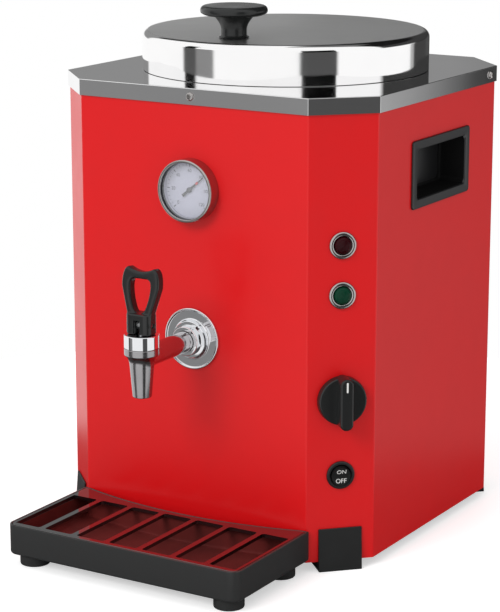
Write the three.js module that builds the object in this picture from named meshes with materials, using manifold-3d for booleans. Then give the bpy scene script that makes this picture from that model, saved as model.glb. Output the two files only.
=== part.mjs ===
// Counter-top heated milk dispenser: a chamfered sheet-metal housing round a double-walled tank,
// with a hinged lid, a self-closing lever tap, a dial thermometer, controls and a drip tray.
// Lengths are millimetres. +Z is up and -Y is the front, where the tap is.

import * as THREE from 'three';
import { mergeVertices } from 'three/addons/utils/BufferGeometryUtils.js';
import Module from 'manifold-3d';

// Fits shared by every piece
const fitGap = 0.3;
const cutOverrun = 3;
const weldTolerance = 0.0001;

// Facets of round pieces, steps of the arcs in profiles, and curve divisions of flat outlines
const largeRound = 48;
const vesselRound = 32;
const mediumRound = 22;
const smallRound = 14;
const tinyRound = 8;
const tubeSides = 6;
const hexSides = 6;
const profileSteps = 3;
const plateCurve = 2;
const slotCurve = 1;
const edgeSteps = 1;

// Housing
const housingWidth = 300;
const housingDepth = 296;
const cornerCut = 41;
const sheet = 1.2;
const bodyBottom = 8;
const deckTop = 393;
const deckSkirt = 13.5;
const deckBend = 2.4;
const deckBendSteps = 2;
const rearFlangeWidth = 16;
const rearReveal = 0.6;
const baseLift = 2;
const baseRim = 14;

// Rear vents
const ventLength = 46;
const ventHeight = 4;
const ventPitch = 11;
const ventRows = 6;
const ventColumnOffset = 32;
const ventDrop = 63;

// Tank, water jacket and insulation
const tankRoom = 35;
const tankWall = 1;
const tankCorner = 12;
const tankRimWidth = 6.5;
const tankOffset = 2.7;
const tankFloorDrop = 34.5;
const jacketSpace = 12;
const jacketDepth = 42;
const jacketTopDrop = 108;
const sleeveThickness = 7;
const sleeveMargin = 5;

// Heating element
const elementInset = 38;
const elementTube = 4;
const elementRise = 18;
const elementLegSpread = 26;
const elementLegDrop = 22;
const elementFlangeWidth = 84;
const elementFlangeDepth = 26;
const elementFlangeThickness = 3;
const elementLegShare = 3;
const elementSteps = 30;
const elementPoints = 14;

// Lid
const lidOverhang = 10.5;
const lidHeight = 33.1;
const lidShoulder = 6;
const lidCrown = 1.5;
const lidSheet = 1.2;
const knobInset = 38.8;
const knobHeadRadius = 28;
const knobHeadHeight = 8;
const knobUndercut = 60;
const knobStemRadius = 11.2;
const knobHeight = 26.5;
const knobBaseRadius = 15;
const knobBaseHeight = 1.2;
const knobScrewRadius = 2.5;
const knobScrewDepth = 14;
const screwHeadRadiusShare = 1.9;
const screwHeadHeightShare = 0.9;

// Lid hinge
const hingeAxisRise = 7.5;
const hingeAxisSetback = 9;
const hingeKnuckleRadius = 4.2;
const hingePinRadius = 2;
const hingeLeafWidth = 30;
const hingeEarWidth = 12;
const hingePlate = 2;
const hingeLeafHeight = 22;
const hingeBaseDepth = 12;

// Thermometer
const gaugeDrop = 83;
const gaugeRadius = 26;
const gaugeProud = 12;
const gaugeLip = 2.6;
const gaugeLipEdge = 0.85;
const gaugeBarrelRadius = 24;
const gaugeBarrelDepth = 16;
const gaugeWellDepth = 10;
const gaugeDialThickness = 0.8;
const gaugeGlassThickness = 1.5;
const gaugeGlassRecess = 3.5;
const gaugePointerReach = 17;
const gaugePointerTail = 6;
const gaugePointerWidth = 2.2;
const gaugePointerTip = 1.1;
const gaugePointerThickness = 0.6;
const gaugeHubRadius = 2;
const gaugeHubHeight = 2;
const gaugePointerTurn = 50;
const gaugeClampRadius = 30;
const gaugeClampThickness = 2.5;
const gaugeStemRadius = 3;
const gaugeStemReach = 14;

// Tap
const tapHeight = 184.5;
const tapReach = 75.5;
const tapShankRadius = 8.75;
const tapShankBore = 5;
const tapShankInside = 12;
const tapFlangeRadius = 26;
const tapFlangeRim = 2.4;
const tapFlangeDish = 4.8;
const tapHubRadius = 12.4;
const tapHubProud = 13;
const tapHubEdge = 0.6;
const tapShoulderRadius = 15.6;
const tapShoulderProud = 6;
const spoutDrop = 31.5;
const spoutTipRadius = 7.75;
const spoutRootRadius = 10.1;
const spoutBore = 5.5;
const tapHeadRadius = 14.2;
const tapHeadRise = 3;
const tapHeadTaper = 6;
const tapHeadHeight = 6.2;
const bonnetHeight = 11.3;
const tapChamberRadius = 8.3;
const tapChamberDrop = 5.9;
const bonnetBore = 7.4;
const bonnetCrown = 3.4;
const bonnetEdge = 0.8;
const stemRadius = 2.4;
const stemEyeWidth = 5;
const stemEyeRadius = 3.6;
const pivotRise = 7.5;
const pinRadius = 1.5;
const seatCupRadius = 7.1;
const seatCupHeight = 6;
const springRadius = 5.2;
const springWire = 0.6;
const springTurns = 4;
const springStepsPerTurn = 8;
const springSides = 5;
const nutRadius = 14;
const nutThickness = 6;
const sealThickness = 2.5;
const sealRadius = 13;

// Tap lever
const leverBaseWidth = 23;
const leverBaseDepth = 15;
const leverBaseHeight = 17;
const leverLoopWidth = 37;
const leverHeight = 55;
const leverNotch = 3.6;
const leverWall = 7.2;
const leverBar = 7;
const leverThickness = 9.5;
const leverEdge = 1.6;
const leverSlotWidth = 6;
const leverSlotDepth = 9;
const leverCurveSteps = 5;
const leverNeckShare = 0.46;
const leverBellyShare = 0.62;
const leverHoleWaistShare = 0.3;
const leverLean = 6;
const leverCornerShare = 1 / 3;

// Controls on the right front corner face
const lampGreenHeight = 233;
const lampPitch = 41;
const lampBezelRadius = 11.2;
const lampBezelProud = 2.4;
const lampBarrelRadius = 8.4;
const lampBarrelDepth = 22;
const lampLensRadius = 7;
const lampLensDome = 3;
const lampLensDepth = 9;
const lampNutRadius = 12;
const lampNutThickness = 4;
const thermostatDrop = 4;
const knobDiscRadius = 20.5;
const knobDiscThickness = 6;
const knobDiscDraft = 1;
const knobStandoff = 1;
const knobGripWidth = 11;
const knobGripLength = 43;
const knobGripProud = 19;
const knobGripDraft = 1.2;
const shaftRadius = 3;
const shaftHole = 5;
const shaftInKnob = 12;
const thermostatWidth = 34;
const thermostatDepth = 30;
const thermostatEntry = 6;
const capillaryRadius = 1.2;
const bulbRadius = 3;
const bulbHeight = 32;
const bulbOffsetShare = 0.64;
const capillarySag = 14;
const capillaryBendShare = 1 / 3;
const capillarySteps = 20;
const switchPitch = 64;
const switchFlangeRadius = 11.85;
const switchFlangeProud = 2.2;
const switchBarrelRadius = 10;
const switchBarrelDepth = 19;
const switchWellRadius = 9.1;
const switchWellDepth = 6;
const rockerRadius = 8.3;
const rockerProud = 2.4;
const rockerDepth = 3;
const rockerTilt = 9;
const rockerDish = 1.6;

// Side grips
const gripLength = 105;
const gripHeight = 57;
const gripDrop = 73.5;
const gripSetback = 3;
const gripBorder = 8;
const gripProud = 2;
const gripWall = 2;
const gripDepth = 25;
const gripCorner = 3;
const gripEdge = 0.7;

// Corner feet
const footWidth = 37;
const footHeight = 36.5;
const footTopThickness = 1.6;
const footBottomThickness = 4.2;
const footSoleDepth = 30;

// Drip tray and grille
const trayOverhang = 3;
const trayReach = 114;
const trayTop = 36;
const trayBottom = 10;
const trayRearBow = 16;
const trayRearFlat = 6;
const trayCorner = 9;
const trayWall = 5;
const trayRim = 2;
const trayFloor = 3;
const trayFootRadius = 12.5;
const trayFootInset = 17;
const rearArcSteps = 10;
const grilleThickness = 3;
const grilleBar = 5;
const grilleSlots = 7;
const grilleFrontBorder = 5;
const grilleSlotSetback = 24;

// Rear fittings and fasteners
const glandInset = 31;
const glandHeight = 48;
const glandRadius = 11;
const glandProud = 16;
const glandBarrelRadius = 8;
const glandBarrelDepth = 12;
const glandBore = 4;
const glandHexShare = 0.45;
const blockLength = 42;
const blockDepth = 18;
const blockHeight = 15;
const blockWays = 4;
const blockWellShare = 0.25;
const blockBackset = 40;
const screwHeadRadius = 3.6;
const screwHeadHeight = 1.8;
const screwShankRadius = 1.8;
const screwLength = 7;
const sideScrewInset = 12;
const wrapScrews = 3;
const coverScrewInset = 8;
const coverScrewLowRise = 26;
const coverScrewHighDrop = 34;

// Places worked out from the sizes above
const halfWidth = housingWidth / 2;
const halfDepth = housingDepth / 2;
const backHalf = halfWidth - cornerCut;
const tankRadius = Math.min(halfWidth, halfDepth) - tankRoom;
const tankRimRadius = tankRadius + tankRimWidth;
const tankFloor = tapHeight - tankFloorDrop;
const jacketRadius = tankRadius + jacketSpace;
const jacketFloor = tankFloor - jacketDepth;
const jacketTop = deckTop - jacketTopDrop;
const elementRing = tankRadius - elementInset;
const elementHeight = jacketFloor + elementRise;
const elementLegBottom = jacketFloor - elementLegDrop;
const lidRadius = tankRadius + lidOverhang;
const knobReach = lidRadius - knobInset;
const gaugeHeight = deckTop - gaugeDrop;
const spoutTip = tapHeight - spoutDrop;
const tapHeadBottom = tapHeight + tapHeadRise;
const tapHeadTop = tapHeadBottom + tapHeadHeight;
const tapBonnetTop = tapHeadTop + bonnetHeight;
const tapChamberFloor = tapHeight - tapChamberDrop;
const leverTop = tapBonnetTop + leverHeight;
const lampRedHeight = lampGreenHeight + lampPitch;
const bulbTop = jacketFloor + bulbHeight;
const bulbOffset = elementRing * bulbOffsetShare;
const capillaryDrop = jacketFloor - capillarySag;
const gripCentreHeight = deckTop - gripDrop;
const thermostatHeight = tankFloor - thermostatDrop;
const switchHeight = thermostatHeight - switchPitch;
const trayFront = halfDepth + trayReach;
const trayWidth = 2 * (backHalf + trayOverhang);
const grillePitch = trayWidth / grilleSlots;
const grilleSlotBack = halfDepth + grilleSlotSetback;
const glandSide = backHalf - glandInset;
const sideScrewSetback = halfDepth - cornerCut - sideScrewInset;
const ventTop = deckTop - ventDrop;
const wrapTop = deckTop - sheet - fitGap;
const rearFlangeFace = halfDepth - sheet - fitGap;
const behindSheet = -sheet - fitGap;
const tankOuter = tankRadius + tankWall;
const tankFlat = tankRadius * Math.cos(Math.PI / vesselRound);
const lidBottom = deckTop + fitGap;
const lidTop = lidBottom + lidHeight;
const lidBack = tankOffset + lidRadius;
const hingeY = lidBack + hingeAxisSetback;
const hingeZ = deckTop + hingeAxisRise;
const knobY = tankOffset - knobReach;
const tapAxisY = -halfDepth - tapReach;
const pivotZ = tapBonnetTop + pivotRise;
const trayBack = -halfDepth - fitGap;
const trayHalf = trayWidth / 2;
const trayArcHalf = trayHalf - trayRearFlat;
const trayArcRadius = (trayArcHalf * trayArcHalf + trayRearBow * trayRearBow) / (2 * trayRearBow);
const trayArcCentre = trayBack - trayRearBow + trayArcRadius;
const rearmost = halfDepth + glandProud;
const centreShift = (trayFront - rearmost) / 2;

const front = -Math.PI / 2;
const rear = Math.PI / 2;
const right = 0;
const left = Math.PI;

const wasm = await Module();
wasm.setup();

// A closed three.js geometry becomes a solid: vertices welded, empty faces dropped, faces turned outwards.
function solidOf(geometry) {
  const bare = geometry.clone();
  bare.deleteAttribute('normal');
  bare.deleteAttribute('uv');
  const welded = mergeVertices(bare, weldTolerance);
  const places = welded.attributes.position.array;
  const corners = welded.index.array;
  const faces = [];
  let volume = 0;
  for (let i = 0; i < corners.length; i += 3) {
    const [a, b, c] = [corners[i], corners[i + 1], corners[i + 2]];
    if (a === b || b === c || c === a) continue;
    faces.push([a, b, c]);
    const [p, q, r] = [a, b, c].map((v) => new THREE.Vector3().fromArray(places, v * 3));
    volume += p.dot(q.cross(r));
  }
  const turned = volume < 0 ? faces.map(([a, b, c]) => [a, c, b]) : faces;
  const mesh = new wasm.Mesh({
    numProp: 3,
    vertProperties: new Float32Array(places),
    triVerts: new Uint32Array(turned.flat()),
  });
  return new wasm.Manifold(mesh);
}

function geometryOf(solid) {
  const mesh = solid.getMesh();
  const geometry = new THREE.BufferGeometry();
  geometry.setAttribute('position', new THREE.BufferAttribute(new Float32Array(mesh.vertProperties), 3));
  geometry.setIndex(Array.from(mesh.triVerts));
  geometry.computeVertexNormals();
  return geometry;
}

// An upright solid of a flat outline between two heights
function prism(shape, low, high, curveSegments = plateCurve) {
  const geometry = new THREE.ExtrudeGeometry(shape, { depth: high - low, bevelEnabled: false, curveSegments });
  geometry.translate(0, 0, low);
  return solidOf(geometry);
}

// An upright solid whose top edge is rounded; the outline keeps its size
function roundedPrism(shape, low, high, radius, steps, curveSegments = plateCurve) {
  const geometry = new THREE.ExtrudeGeometry(shape, {
    depth: high - low,
    bevelEnabled: true,
    bevelThickness: radius,
    bevelSize: radius,
    bevelOffset: -radius,
    bevelSegments: steps,
    curveSegments,
  });
  geometry.translate(0, 0, low - radius);
  geometry.computeBoundingBox();
  const { min, max } = geometry.boundingBox;
  const below = block(min.x - cutOverrun, max.x + cutOverrun, min.y - cutOverrun, max.y + cutOverrun,
    low - radius - cutOverrun, low);
  return solidOf(geometry).subtract(below);
}

// A solid of revolution about Z from [radius, height] pairs that close on the axis or on themselves
function turnedSolid(profile, facets) {
  const points = profile.map(([radius, height]) => new THREE.Vector2(radius, height));
  const geometry = new THREE.LatheGeometry(points, facets);
  geometry.rotateX(Math.PI / 2);
  return solidOf(geometry);
}

function rod(radius, low, high, facets) {
  return turnedSolid([[0, low], [radius, low], [radius, high], [0, high]], facets);
}

function ring(inner, outer, low, high, facets) {
  return turnedSolid([[inner, low], [outer, low], [outer, high], [inner, high], [inner, low]], facets);
}

// A hexagonal nut with a round bore
function nut(bore, corners, low, high) {
  return rod(corners, low, high, hexSides).subtract(rod(bore, low - cutOverrun, high + cutOverrun, smallRound));
}

function block(x0, x1, y0, y1, z0, z1) {
  const geometry = new THREE.BoxGeometry(x1 - x0, y1 - y0, z1 - z0);
  geometry.translate((x0 + x1) / 2, (y0 + y1) / 2, (z0 + z1) / 2);
  return solidOf(geometry);
}

// The same solid moved by a matrix
function placed(solid, matrix) {
  const geometry = geometryOf(solid);
  geometry.applyMatrix4(matrix);
  return solidOf(geometry);
}

function shifted(solid, x, y, z) {
  return placed(solid, new THREE.Matrix4().makeTranslation(x, y, z));
}

// Points of an arc in a profile, from one angle to another in degrees, both ends included
function arc(cx, cy, radius, from, to, steps) {
  const points = [];
  for (let i = 0; i <= steps; i += 1) {
    const angle = THREE.MathUtils.degToRad(from + (to - from) * i / steps);
    points.push([cx + radius * Math.cos(angle), cy + radius * Math.sin(angle)]);
  }
  return points;
}

function outline(points) {
  return new THREE.Shape(points.map(([x, y]) => new THREE.Vector2(x, y)));
}

function roundedRectangle(width, height, corner) {
  const [x, y] = [width / 2, height / 2];
  const shape = new THREE.Shape();
  shape.moveTo(-x + corner, -y);
  shape.lineTo(x - corner, -y);
  shape.absarc(x - corner, -y + corner, corner, front, right, false);
  shape.lineTo(x, y - corner);
  shape.absarc(x - corner, y - corner, corner, right, rear, false);
  shape.lineTo(-x + corner, y);
  shape.absarc(-x + corner, y - corner, corner, rear, left, false);
  shape.lineTo(-x, -y + corner);
  shape.absarc(-x + corner, -y + corner, corner, left, left + rear, false);
  return shape;
}

// Frame of a wall: +Z out of the wall, +Y up, at a point of its outer face
function wallFrame(heading, x, y, z) {
  const out = new THREE.Vector3(Math.cos(heading), Math.sin(heading), 0);
  const up = new THREE.Vector3(0, 0, 1);
  const along = new THREE.Vector3().crossVectors(up, out);
  return new THREE.Matrix4().makeBasis(along, up, out).setPosition(x, y, z);
}

const frontFrame = (x, z) => wallFrame(front, x, -halfDepth, z);
const rearFrame = (x, z) => wallFrame(rear, x, halfDepth, z);
const sideFrame = (side, z) => wallFrame(side > 0 ? right : left, side * halfWidth, gripSetback, z);

// Frame of a corner face, named by the signs of its X and Y
function cornerFrame(signX, signY, z) {
  const heading = Math.atan2(signY, signX);
  return wallFrame(heading, signX * (halfWidth - cornerCut / 2), signY * (halfDepth - cornerCut / 2), z);
}

const controlFrame = (z) => cornerFrame(1, -1, z);

// The housing's plan with its four cut corners, moved inwards by an inset (outwards when negative)
function housingPlan(inset) {
  const x = halfWidth - inset;
  const y = halfDepth - inset;
  const cut = cornerCut - inset * (2 - Math.SQRT2);
  return outline([
    [-x + cut, -y], [x - cut, -y], [x, -y + cut], [x, y - cut],
    [x - cut, y], [-x + cut, y], [-x, y - cut], [-x, -y + cut],
  ]);
}

// A hole through the wall at a frame
function wallHole(radius, frame, facets) {
  return placed(rod(radius, -cutOverrun - sheet, cutOverrun, facets), frame);
}

// Housing

function housingWrap() {
  const outside = prism(housingPlan(0), bodyBottom, wrapTop);
  const inside = prism(housingPlan(sheet), bodyBottom - cutOverrun, wrapTop + cutOverrun);
  const rearGap = block(-backHalf, backHalf, rearFlangeFace, halfDepth + cutOverrun,
    bodyBottom - cutOverrun, wrapTop + cutOverrun);
  let wrap = outside.subtract(inside).subtract(rearGap);
  for (const side of [-1, 1]) {
    const outer = side * (backHalf + sheet);
    const inner = side * (backHalf - rearFlangeWidth);
    const flange = block(Math.min(outer, inner), Math.max(outer, inner),
      rearFlangeFace - sheet, rearFlangeFace, bodyBottom, wrapTop);
    wrap = wrap.add(flange);
    const window = prism(gripWindow(), -cutOverrun - sheet, cutOverrun);
    wrap = wrap.subtract(placed(window, sideFrame(side, gripCentreHeight)));
  }
  const holes = [
    [gaugeBarrelRadius + fitGap, frontFrame(0, gaugeHeight), mediumRound],
    [tapShankRadius + fitGap, frontFrame(0, tapHeight), smallRound],
    [lampBarrelRadius + fitGap, controlFrame(lampRedHeight), smallRound],
    [lampBarrelRadius + fitGap, controlFrame(lampGreenHeight), smallRound],
    [shaftHole, controlFrame(thermostatHeight), smallRound],
    [switchBarrelRadius + fitGap, controlFrame(switchHeight), smallRound],
  ];
  for (const [radius, frame, facets] of holes) wrap = wrap.subtract(wallHole(radius, frame, facets));
  for (const frame of deckScrewFrames().slice(0, wrapScrews)) wrap = wrap.subtract(screwHole(frame));
  for (const frame of coverScrewFrames()) wrap = wrap.subtract(screwHole(frame));
  return wrap;
}

function rearCover() {
  const half = backHalf - rearReveal;
  let cover = block(-half, half, halfDepth - sheet, halfDepth, bodyBottom, wrapTop);
  const slot = prism(roundedRectangle(ventLength, ventHeight, ventHeight / 2), -cutOverrun - sheet, cutOverrun,
    slotCurve);
  for (let row = 0; row < ventRows; row += 1) {
    for (const side of [-1, 1]) {
      const frame = rearFrame(side * ventColumnOffset, ventTop - row * ventPitch);
      cover = cover.subtract(placed(slot, frame));
    }
  }
  cover = cover.subtract(wallHole(glandBarrelRadius + fitGap, rearFrame(glandSide, glandHeight), smallRound));
  for (const frame of coverScrewFrames()) cover = cover.subtract(screwHole(frame));
  return cover.subtract(screwHole(deckScrewFrames()[wrapScrews]));
}

function basePlate() {
  const low = bodyBottom + baseLift;
  const backLimit = rearFlangeFace - sheet - fitGap;
  const pan = (inset, bottom, top, back) => prism(housingPlan(inset), bottom, top)
    .subtract(block(-halfWidth, halfWidth, back, halfDepth, bottom - cutOverrun, top + cutOverrun));
  const outside = pan(sheet + fitGap, low, low + baseRim, backLimit);
  return outside.subtract(pan(2 * sheet + fitGap, low + sheet, low + baseRim + cutOverrun, backLimit - sheet));
}

function topDeck() {
  const outside = roundedPrism(housingPlan(-sheet - fitGap), deckTop - deckSkirt, deckTop, deckBend, deckBendSteps);
  const inside = prism(housingPlan(-fitGap), deckTop - deckSkirt - cutOverrun, deckTop - sheet);
  const mouth = shifted(rod(tankOuter + fitGap, deckTop - deckSkirt, deckTop + cutOverrun, vesselRound),
    0, tankOffset, 0);
  let deck = outside.subtract(inside).subtract(mouth);
  for (const frame of deckScrewFrames()) deck = deck.subtract(screwHole(frame));
  return deck;
}

// Fasteners

// The deck's screws stand on its skirt, the first three over the wrap and the last over the rear cover.
function deckScrewFrames() {
  const height = deckTop - deckSkirt / 2;
  const proud = sheet + fitGap;
  return [
    wallFrame(front, 0, -halfDepth - proud, height),
    wallFrame(right, halfWidth + proud, sideScrewSetback, height),
    wallFrame(left, -halfWidth - proud, sideScrewSetback, height),
    wallFrame(rear, 0, halfDepth + proud, height),
  ];
}

function coverScrewFrames() {
  const x = backHalf - coverScrewInset;
  const [low, high] = [bodyBottom + coverScrewLowRise, wrapTop - coverScrewHighDrop];
  return [rearFrame(-x, low), rearFrame(x, low), rearFrame(-x, high), rearFrame(x, high)];
}

function screwHole(frame) {
  return placed(rod(screwShankRadius + fitGap, -screwLength, cutOverrun, tinyRound), frame);
}

function panScrew() {
  return turnedSolid([
    [0, -screwLength], [screwShankRadius, -screwLength], [screwShankRadius, fitGap], [screwHeadRadius, fitGap],
    [screwHeadRadius, fitGap + screwHeadHeight / 2], [screwHeadRadius - screwHeadHeight / 2, fitGap + screwHeadHeight],
    [0, fitGap + screwHeadHeight],
  ], tinyRound);
}

// Tank and water bath

function milkTank() {
  const rimLow = deckTop + fitGap;
  const rimHigh = rimLow + tankWall;
  const cornerIn = arc(tankRadius - tankCorner, tankFloor + tankCorner, tankCorner, 0, -90, profileSteps);
  const cornerOut = arc(tankRadius - tankCorner, tankFloor + tankCorner, tankCorner + tankWall, -90, 0,
    profileSteps);
  let tank = turnedSolid([
    [0, tankFloor - tankWall], ...cornerOut, [tankOuter, rimLow], [tankRimRadius, rimLow],
    [tankRimRadius, rimHigh], [tankRadius, rimHigh], ...cornerIn, [0, tankFloor],
  ], vesselRound);
  tank = shifted(tank, 0, tankOffset, 0);
  const port = placed(rod(tapShankRadius + fitGap + tankWall, -portReach(), -portStart(), smallRound),
    frontFrame(0, tapHeight));
  const bore = placed(rod(tapShankRadius + fitGap, -tapTailReach(), 0, smallRound), frontFrame(0, tapHeight));
  const probe = placed(rod(gaugeStemRadius + fitGap, -gaugeTailReach(), 0, tinyRound), frontFrame(0, gaugeHeight));
  return tank.add(port).subtract(bore).subtract(probe);
}

// Depths below the front face, for what passes from the front into the tank
function portStart() {
  return halfDepth + tankOffset - jacketRadius + tankWall;
}

function portReach() {
  return halfDepth + tankOffset - tankRadius - tankWall / 2;
}

function sealDepth() {
  return halfDepth + tankOffset - Math.sqrt(tankFlat * tankFlat - sealRadius * sealRadius) + fitGap;
}

function tapTailReach() {
  return sealDepth() + sealThickness + nutThickness + tapShankInside / 2;
}

function gaugeTailReach() {
  return halfDepth + tankOffset - tankRadius + gaugeStemReach;
}

function waterJacket() {
  const inner = jacketRadius - tankWall;
  const lip = tankOuter + fitGap;
  let jacket = turnedSolid([
    [0, jacketFloor], [jacketRadius, jacketFloor], [jacketRadius, jacketTop], [lip, jacketTop],
    [lip, jacketTop - tankWall], [inner, jacketTop - tankWall], [inner, jacketFloor + tankWall],
    [0, jacketFloor + tankWall],
  ], vesselRound);
  jacket = shifted(jacket, 0, tankOffset, 0);
  const port = placed(rod(tapShankRadius + 2 * fitGap + tankWall, -portReach(), 0, smallRound),
    frontFrame(0, tapHeight));
  jacket = jacket.subtract(port);
  for (const side of [-1, 1]) {
    const leg = rod(elementTube + fitGap, jacketFloor - cutOverrun, jacketFloor + cutOverrun, tinyRound);
    jacket = jacket.subtract(shifted(leg, side * elementLegSpread, elementLegY(), 0));
  }
  const bulb = rod(bulbRadius + fitGap, jacketFloor - cutOverrun, jacketFloor + cutOverrun, tinyRound);
  return jacket.subtract(shifted(bulb, bulbOffset, tankOffset, 0));
}

function insulationSleeve() {
  const inner = jacketRadius + fitGap;
  const sleeve = shifted(ring(inner, inner + sleeveThickness, jacketFloor + sleeveMargin,
    jacketTop - sleeveMargin, vesselRound), 0, tankOffset, 0);
  const slot = placed(rod(tapShankRadius + fitGap, -portReach(), 0, smallRound), frontFrame(0, tapHeight));
  return sleeve.subtract(slot);
}

function elementLegY() {
  return tankOffset + Math.sqrt(elementRing * elementRing - elementLegSpread * elementLegSpread);
}

// A tube of a round section along a path of points
function tube(points, radius, sides, steps) {
  const section = new THREE.Shape();
  section.absarc(0, 0, radius, 0, 2 * Math.PI, false);
  const path = new THREE.CatmullRomCurve3(points, false, 'centripetal');
  const geometry = new THREE.ExtrudeGeometry(section, { steps, curveSegments: sides / 2, extrudePath: path });
  return solidOf(geometry);
}

// A ring of tube whose two ends turn down into straight legs through a flange under the jacket
function heatingElement() {
  const legY = elementLegY();
  const start = Math.asin(elementLegSpread / elementRing);
  const legTop = elementHeight - elementTube * elementLegShare;
  const points = [new THREE.Vector3(elementLegSpread, legY, legTop)];
  const turns = elementPoints;
  for (let i = 1; i < turns; i += 1) {
    const angle = start + (2 * Math.PI - 2 * start) * i / turns;
    points.push(new THREE.Vector3(elementRing * Math.sin(angle), tankOffset + elementRing * Math.cos(angle),
      elementHeight));
  }
  points.push(new THREE.Vector3(-elementLegSpread, legY, legTop));
  let element = tube(points, elementTube, tubeSides, elementSteps);
  const plateTop = jacketFloor - fitGap;
  for (const side of [-1, 1]) {
    const leg = rod(elementTube, elementLegBottom, legTop + elementTube / 2, tinyRound);
    element = element.add(shifted(leg, side * elementLegSpread, legY, 0));
  }
  const plate = block(-elementFlangeWidth / 2, elementFlangeWidth / 2, legY - elementFlangeDepth / 2,
    legY + elementFlangeDepth / 2, plateTop - elementFlangeThickness, plateTop);
  return element.add(plate);
}

function terminalBlock() {
  const floor = bodyBottom + baseLift + sheet + fitGap;
  const y = halfDepth - blockBackset;
  let body = block(-blockLength / 2, blockLength / 2, y - blockDepth / 2, y + blockDepth / 2, floor, floor + blockHeight);
  const pitch = blockLength / blockWays;
  for (let i = 0; i < blockWays; i += 1) {
    const x = (i - (blockWays - 1) / 2) * pitch;
    const well = rod(pitch * blockWellShare, floor + blockHeight / 2, floor + blockHeight + cutOverrun, tinyRound);
    body = body.subtract(shifted(well, x, y, 0));
  }
  return body;
}

function cableGland() {
  const hexTop = glandProud * glandHexShare;
  const barrel = ring(glandBore, glandBarrelRadius, -glandBarrelDepth, hexTop, smallRound);
  const hex = nut(glandBore, glandRadius, fitGap, hexTop);
  const dome = turnedSolid([
    [glandBore, hexTop / 2], [glandRadius - sheet, hexTop / 2],
    ...arc(glandBore, hexTop, glandProud - hexTop, 0, 90, profileSteps).map(([r, z]) => [
      glandBore + (r - glandBore) * (glandRadius - sheet - glandBore) / (glandProud - hexTop), z]),
    [glandBore, hexTop / 2],
  ], smallRound);
  return barrel.add(hex).add(dome);
}

// Lid

function lidShell() {
  const flat = lidRadius - lidShoulder;
  const outer = arc(flat, lidTop - lidShoulder, lidShoulder, 0, 90, profileSteps);
  const inner = arc(flat, lidTop - lidShoulder, lidShoulder - lidSheet, 90, 0, profileSteps);
  const shell = shifted(turnedSolid([
    [0, lidTop + lidCrown - lidSheet], ...inner, [lidRadius - lidSheet, lidBottom], [lidRadius, lidBottom],
    ...outer, [0, lidTop + lidCrown],
  ], largeRound), 0, tankOffset, 0);
  const hole = rod(knobScrewRadius + fitGap, lidTop - cutOverrun, lidTop + lidCrown + cutOverrun, tinyRound);
  return shell.subtract(shifted(hole, 0, knobY, 0));
}

// Height of the lid's domed top over the knob's axis, at the higher side of the knob's base
function knobSeat() {
  const flat = lidRadius - lidShoulder;
  const nearest = knobReach - knobBaseRadius;
  return lidTop + lidCrown * (1 - nearest / flat) + fitGap;
}

function lidKnob() {
  const seat = knobSeat();
  const top = seat + knobHeight;
  const headLow = top - knobHeadHeight;
  const neck = seat + knobBaseHeight;
  const flare = headLow - neck;
  const crown = knobHeadHeight / 2;
  const knob = turnedSolid([
    [0, seat], [knobBaseRadius, seat], [knobBaseRadius, neck], [knobStemRadius, neck],
    [knobStemRadius, neck + flare / 2],
    ...arc(knobStemRadius + flare / 2, neck + flare / 2, flare / 2, 180, 90, profileSteps).slice(1),
    [knobHeadRadius - crown, headLow], ...arc(knobHeadRadius - crown, headLow + crown, crown, -knobUndercut, 90, profileSteps),
    [0, top],
  ], mediumRound);
  const bore = rod(knobScrewRadius + fitGap, seat - cutOverrun, seat + knobScrewDepth, tinyRound);
  return shifted(knob.subtract(bore), 0, knobY, 0);
}

function lidKnobScrew() {
  const flat = lidRadius - lidShoulder;
  const headRadius = knobScrewRadius * screwHeadRadiusShare;
  const under = lidTop + lidCrown * (1 - (knobReach + headRadius) / flat) - lidSheet - fitGap;
  const head = under - knobScrewRadius * screwHeadHeightShare;
  return shifted(turnedSolid([
    [0, head], [headRadius, head], [headRadius, under], [knobScrewRadius, under],
    [knobScrewRadius, knobSeat() + knobScrewDepth - fitGap * 2], [0, knobSeat() + knobScrewDepth - fitGap * 2],
  ], tinyRound), 0, knobY, 0);
}

// Lid hinge: a leaf on the lid's skirt turns on a pin held by two ears on the deck

// A rod or knuckle along X about the hinge's axis
function crossRod(radius, x0, x1, y, z, facets) {
  const geometry = new THREE.CylinderGeometry(radius, radius, x1 - x0, facets);
  geometry.rotateZ(Math.PI / 2);
  geometry.translate((x0 + x1) / 2, y, z);
  return solidOf(geometry);
}

function hingeLeaf() {
  const half = hingeLeafWidth / 2;
  const low = lidBottom + hingePlate;
  const high = low + hingeLeafHeight;
  const face = lidBack + fitGap + hingePlate;
  const tab = block(-half, half, lidBack - hingePlate * 2, face, low, high);
  const arm = block(-half, half, lidBack, hingeY, hingeZ - hingePlate / 2, hingeZ + hingePlate / 2);
  const knuckle = crossRod(hingeKnuckleRadius, -half, half, hingeY, hingeZ, smallRound);
  const skirt = shifted(rod(lidRadius + fitGap, lidBottom - cutOverrun, high + cutOverrun, largeRound),
    0, tankOffset, 0);
  const bore = crossRod(hingePinRadius + fitGap, -half - cutOverrun, half + cutOverrun, hingeY, hingeZ, tinyRound);
  return tab.add(arm).add(knuckle).subtract(skirt).subtract(bore);
}

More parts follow.
